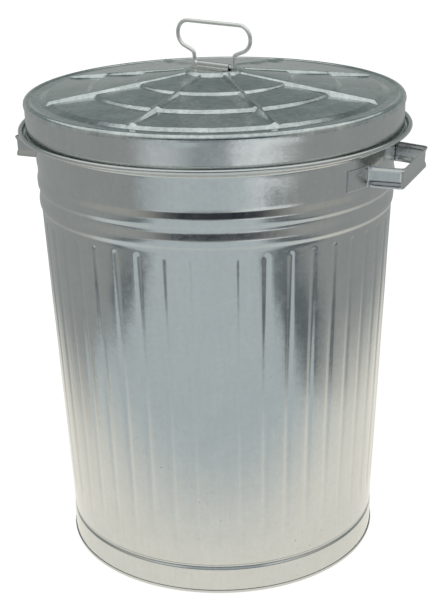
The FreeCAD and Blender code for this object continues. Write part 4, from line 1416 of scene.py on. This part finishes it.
@dataclass
class Studio:
    """The floor, lamps, surroundings and camera."""

    heading: float = 22.65
    distance: float = 1.49546
    elevation: float = 21.291
    roll: float = -1.1603
    target: float = 0.255
    lens: float = 79.336
    shift: Point2 = (-0.001663, 0.024426)
    floor_size: float = 8.0
    floor_grey: Triple = (0.38, 0.395, 0.39)
    paper_strength: float = 1.12
    pool_middle: Point2 = (0.05, 0.03)
    pool_squeeze: Point2 = (1.5, 0.5)
    pool_reach: Point2 = (0.32, 0.80)
    pool_colour: Triple = (1.00, 0.96, 0.87)
    patches: tuple[FloorPatch, ...] = (
        FloorPatch((-1.7, -0.75), (-3.0, -1.5), 0.15, (0.70, 0.73, 0.74)),
        FloorPatch((0.35, 1.40), (-3.0, -1.10), 0.08, (0.97, 0.99, 1.00)),
        FloorPatch((-0.65, 0.25), (-3.0, -1.75), 0.15, (0.34, 0.37, 0.39)),
        FloorPatch((-0.90, 0.80), (-1.15, -0.32), 0.06, (0.16, 0.18, 0.19)),
        FloorPatch((-1.10, -0.55), (-1.50, -0.93), 0.05, (0.55, 0.60, 0.62)),
        FloorPatch((-0.70, 0.50), (-1.80, -0.05), 0.05, (0.60, 0.66, 0.68)),
    )
    haze: tuple[Triple, Triple] = ((0.40, 0.42, 0.41), (0.24, 0.28, 0.27))
    back_wall: Triple = (0.12, 0.145, 0.145)
    front_wall: tuple[Triple, Triple] = ((0.035, 0.04, 0.05), (0.42, 0.45, 0.47))
    front_wings: Triple = (0.46, 0.45, 0.42)
    ceiling: Triple = (0.80, 0.84, 0.82)
    lamp_size: Point2 = (3.4, 3.0)
    lamp_place: Triple = (0.0, 0.1, 2.4)
    lamp_power: float = 4.0

    def to_world(self, x: float, y: float, z: float) -> Vector:
        """A point given in axes that follow the camera's heading, in metres."""
        turn = math.radians(self.heading)
        return Vector((x * math.cos(turn) - y * math.sin(turn), x * math.sin(turn) + y * math.cos(turn), z))

    def spread(self, nodes: Nodes, place: Socket) -> tuple[Socket, ...]:
        """Splits a place or direction along the camera's heading.

        Args:
            nodes: the shader's nodes.
            place: what is split.

        Returns:
            How far it lies to the right and how far ahead.
        """
        ways = (self.to_world(1.0, 0.0, 0.0), self.to_world(0.0, 1.0, 0.0))
        return tuple(nodes.along(place, tuple(way)) for way in ways)

    def camera(self) -> None:
        """Sets the camera where the photograph was taken from."""
        data = bpy.data.cameras.new("photo_camera")
        data.lens = self.lens
        data.sensor_width = 36.0
        data.shift_x, data.shift_y = self.shift
        eye = bpy.data.objects.new("photo_camera", data)
        bpy.context.scene.collection.objects.link(eye)
        lift = math.radians(self.elevation)
        reach = self.distance
        place = self.to_world(0.0, -reach * math.cos(lift), self.target + reach * math.sin(lift))
        look = Vector((0.0, 0.0, self.target)) - place
        turn = look.to_track_quat("-Z", "Y").to_matrix().to_4x4()
        eye.matrix_world = Matrix.Translation(place) @ turn @ Matrix.Rotation(math.radians(self.roll), 4, "Z")
        bpy.context.scene.camera = eye

    def floor(self) -> None:
        """Lays the pale paper and the studio floor in front of it."""
        signs = ((-1, -1), (1, -1), (1, 1), (-1, 1))
        corners = [tuple(self.to_world(x * self.floor_size, y * self.floor_size, 0.0)) for x, y in signs]
        mesh = bpy.data.meshes.new("studio_floor")
        mesh.from_pydata(corners, [], [(0, 1, 2, 3)])
        floor = bpy.data.objects.new("studio_floor", mesh)
        bpy.context.scene.collection.objects.link(floor)
        mesh.materials.append(self.floor_material())
        floor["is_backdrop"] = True

    def mirrored_floor(self, nodes: Nodes) -> Socket:
        """What the metal mirrors of the floor: its patches, and the warm pool of light round the can.

        Args:
            nodes: the floor's shader.

        Returns:
            The colour.
        """
        aside, ahead = self.spread(nodes, nodes.add("ShaderNodeTexCoord").outputs["Object"])
        seen: object = self.floor_grey
        for patch in self.patches:
            seen = nodes.mix(patch.mask(nodes, aside, ahead), seen, patch.colour)
        behind = nodes.math("ADD", ahead, -self.pool_middle[1])
        deep = nodes.math("MAXIMUM", nodes.times(behind, -self.pool_squeeze[0]),
                          nodes.times(behind, self.pool_squeeze[1]))
        wide = nodes.math("ADD", aside, -self.pool_middle[0])
        squares = nodes.math("ADD", nodes.math("POWER", wide, 2.0), nodes.math("POWER", deep, 2.0))
        pool = nodes.remap(nodes.math("SQRT", squares), self.pool_reach, (1.0, 0.0))
        return nodes.mix(pool, seen, self.pool_colour)

    def floor_material(self) -> Material:
        """The studio floor that the metal mirrors; the camera sees it as white paper all over.

        Returns:
            The new material.
        """
        made = bpy.data.materials.new("studio_paper")
        made.use_nodes = True
        nodes = Nodes(made.node_tree)
        # For glossy rays the floor glows: its patch colours plus a painted warm pool of light round the can.
        reflected = nodes.add("ShaderNodeEmission", {"Color": self.mirrored_floor(nodes)})
        paper = nodes.add("ShaderNodeEmission", {"Strength": self.paper_strength})
        matt = nodes.add("ShaderNodeBsdfDiffuse", {"Color": (0.85, 0.85, 0.85)})
        shown = nodes.add("ShaderNodeMixShader", {0: 0.85, 1: matt.outputs[0], 2: paper.outputs[0]})
        path = nodes.add("ShaderNodeLightPath").outputs
        gloss = nodes.math("MAXIMUM", path["Is Glossy Ray"], path["Is Transmission Ray"])
        first = nodes.add("ShaderNodeMixShader", {0: gloss, 1: matt.outputs[0], 2: reflected.outputs[0]})
        second = nodes.add("ShaderNodeMixShader",
                           {0: path["Is Camera Ray"], 1: first.outputs[0], 2: shown.outputs[0]})
        nodes.add("ShaderNodeOutputMaterial", {"Surface": second.outputs[0]})
        return made

    def world(self) -> None:
        """Surrounds the can with a dim studio under a wide bright ceiling."""
        world = bpy.data.worlds.new("studio_room")
        bpy.context.scene.world = world
        world.use_nodes = True
        nodes = Nodes(world.node_tree)
        way = nodes.add("ShaderNodeTexCoord").outputs["Generated"]
        aside, ahead = self.spread(nodes, way)
        off_middle = nodes.math("ABSOLUTE", aside)
        up = nodes.along(way, (0.0, 0.0, 1.0))
        haze = nodes.mix(nodes.remap(up, (0.08, 0.34)), *self.haze)
        back = nodes.mix(nodes.remap(up, (0.50, 0.60)), haze, self.back_wall)
        wall = nodes.mix(nodes.remap(up, (0.20, 0.50)), *self.front_wall)
        front = nodes.mix(nodes.remap(off_middle, (0.35, 0.85)), wall, self.front_wings)
        room = nodes.mix(nodes.remap(ahead, (-0.25, 0.25)), front, back)
        side = nodes.times(nodes.remap(up, (0.46, 0.56)), nodes.remap(off_middle, (0.38, 0.46)))
        over = nodes.math("MAXIMUM", nodes.remap(up, (0.64, 0.74)), side)
        surround = nodes.add("ShaderNodeBackground", {"Color": nodes.mix(over, room, self.ceiling)})
        white = nodes.add("ShaderNodeBackground", {"Color": (1.0, 1.0, 1.0)})
        seen = nodes.add("ShaderNodeLightPath").outputs["Is Camera Ray"]
        mixed = nodes.add("ShaderNodeMixShader", {0: seen, 1: surround.outputs[0], 2: white.outputs[0]})
        nodes.add("ShaderNodeOutputWorld", {"Surface": mixed.outputs[0]})

    def lamps(self) -> None:
        """Hangs one large soft box over the can."""
        data = bpy.data.lights.new("overhead_softbox", "AREA")
        data.shape = "RECTANGLE"
        data.size, data.size_y = self.lamp_size
        data.energy = self.lamp_power
        lamp = bpy.data.objects.new("overhead_softbox", data)
        bpy.context.scene.collection.objects.link(lamp)
        lamp.location = self.to_world(*self.lamp_place)

    def build(self) -> None:
        """Sets up the studio."""
        bpy.context.scene.view_settings.view_transform = "Standard"
        self.camera()
        self.floor()
        self.world()
        self.lamps()
        LOG.info("studio ready")


def write_sizes(frame_box: tuple[Vector, Vector]) -> None:
    """Gathers the CAD box and the visual model's box, in metres, but does not write or keep them.

    Args:
        frame_box: the two corners of the CAD box.
    """
    boxes = {"cad": frame_box, "visual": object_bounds()}
    {name: [list(corner) for corner in box] for name, box in boxes.items()}


def main() -> None:
    """Builds the can, its handles, the lid and the loop, and then the studio."""
    logging.basicConfig(level=logging.INFO, format="%(name)s: %(message)s")
    for old in list(bpy.data.objects):
        bpy.data.objects.remove(old)
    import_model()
    frame_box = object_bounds()
    effects = SharedEffects()
    sheet = ROLLED_SHEET.material(effects)
    panel = PRESSED_LID.material(effects)
    strap = PRESSED_STRAP.material(effects)
    wire = DRAWN_WIRE.material(effects)
    can = CanBody()
    can.build(sheet, wire)
    taper = math.degrees(math.atan2(can.neck_radius - can.floor_radius, can.neck_level))
    for name, azimuth in (("strap_right", 0.0), ("strap_left", 180.0)):
        StrapHandle(name, azimuth, can.wall(StrapHandle.level), taper).build(strap)
    lid = Lid()
    lid.build(panel, sheet, strap)
    WireLoop(lid).build(wire)
    Studio().build()
    write_sizes(frame_box)


if __name__ == "__main__":
    main()
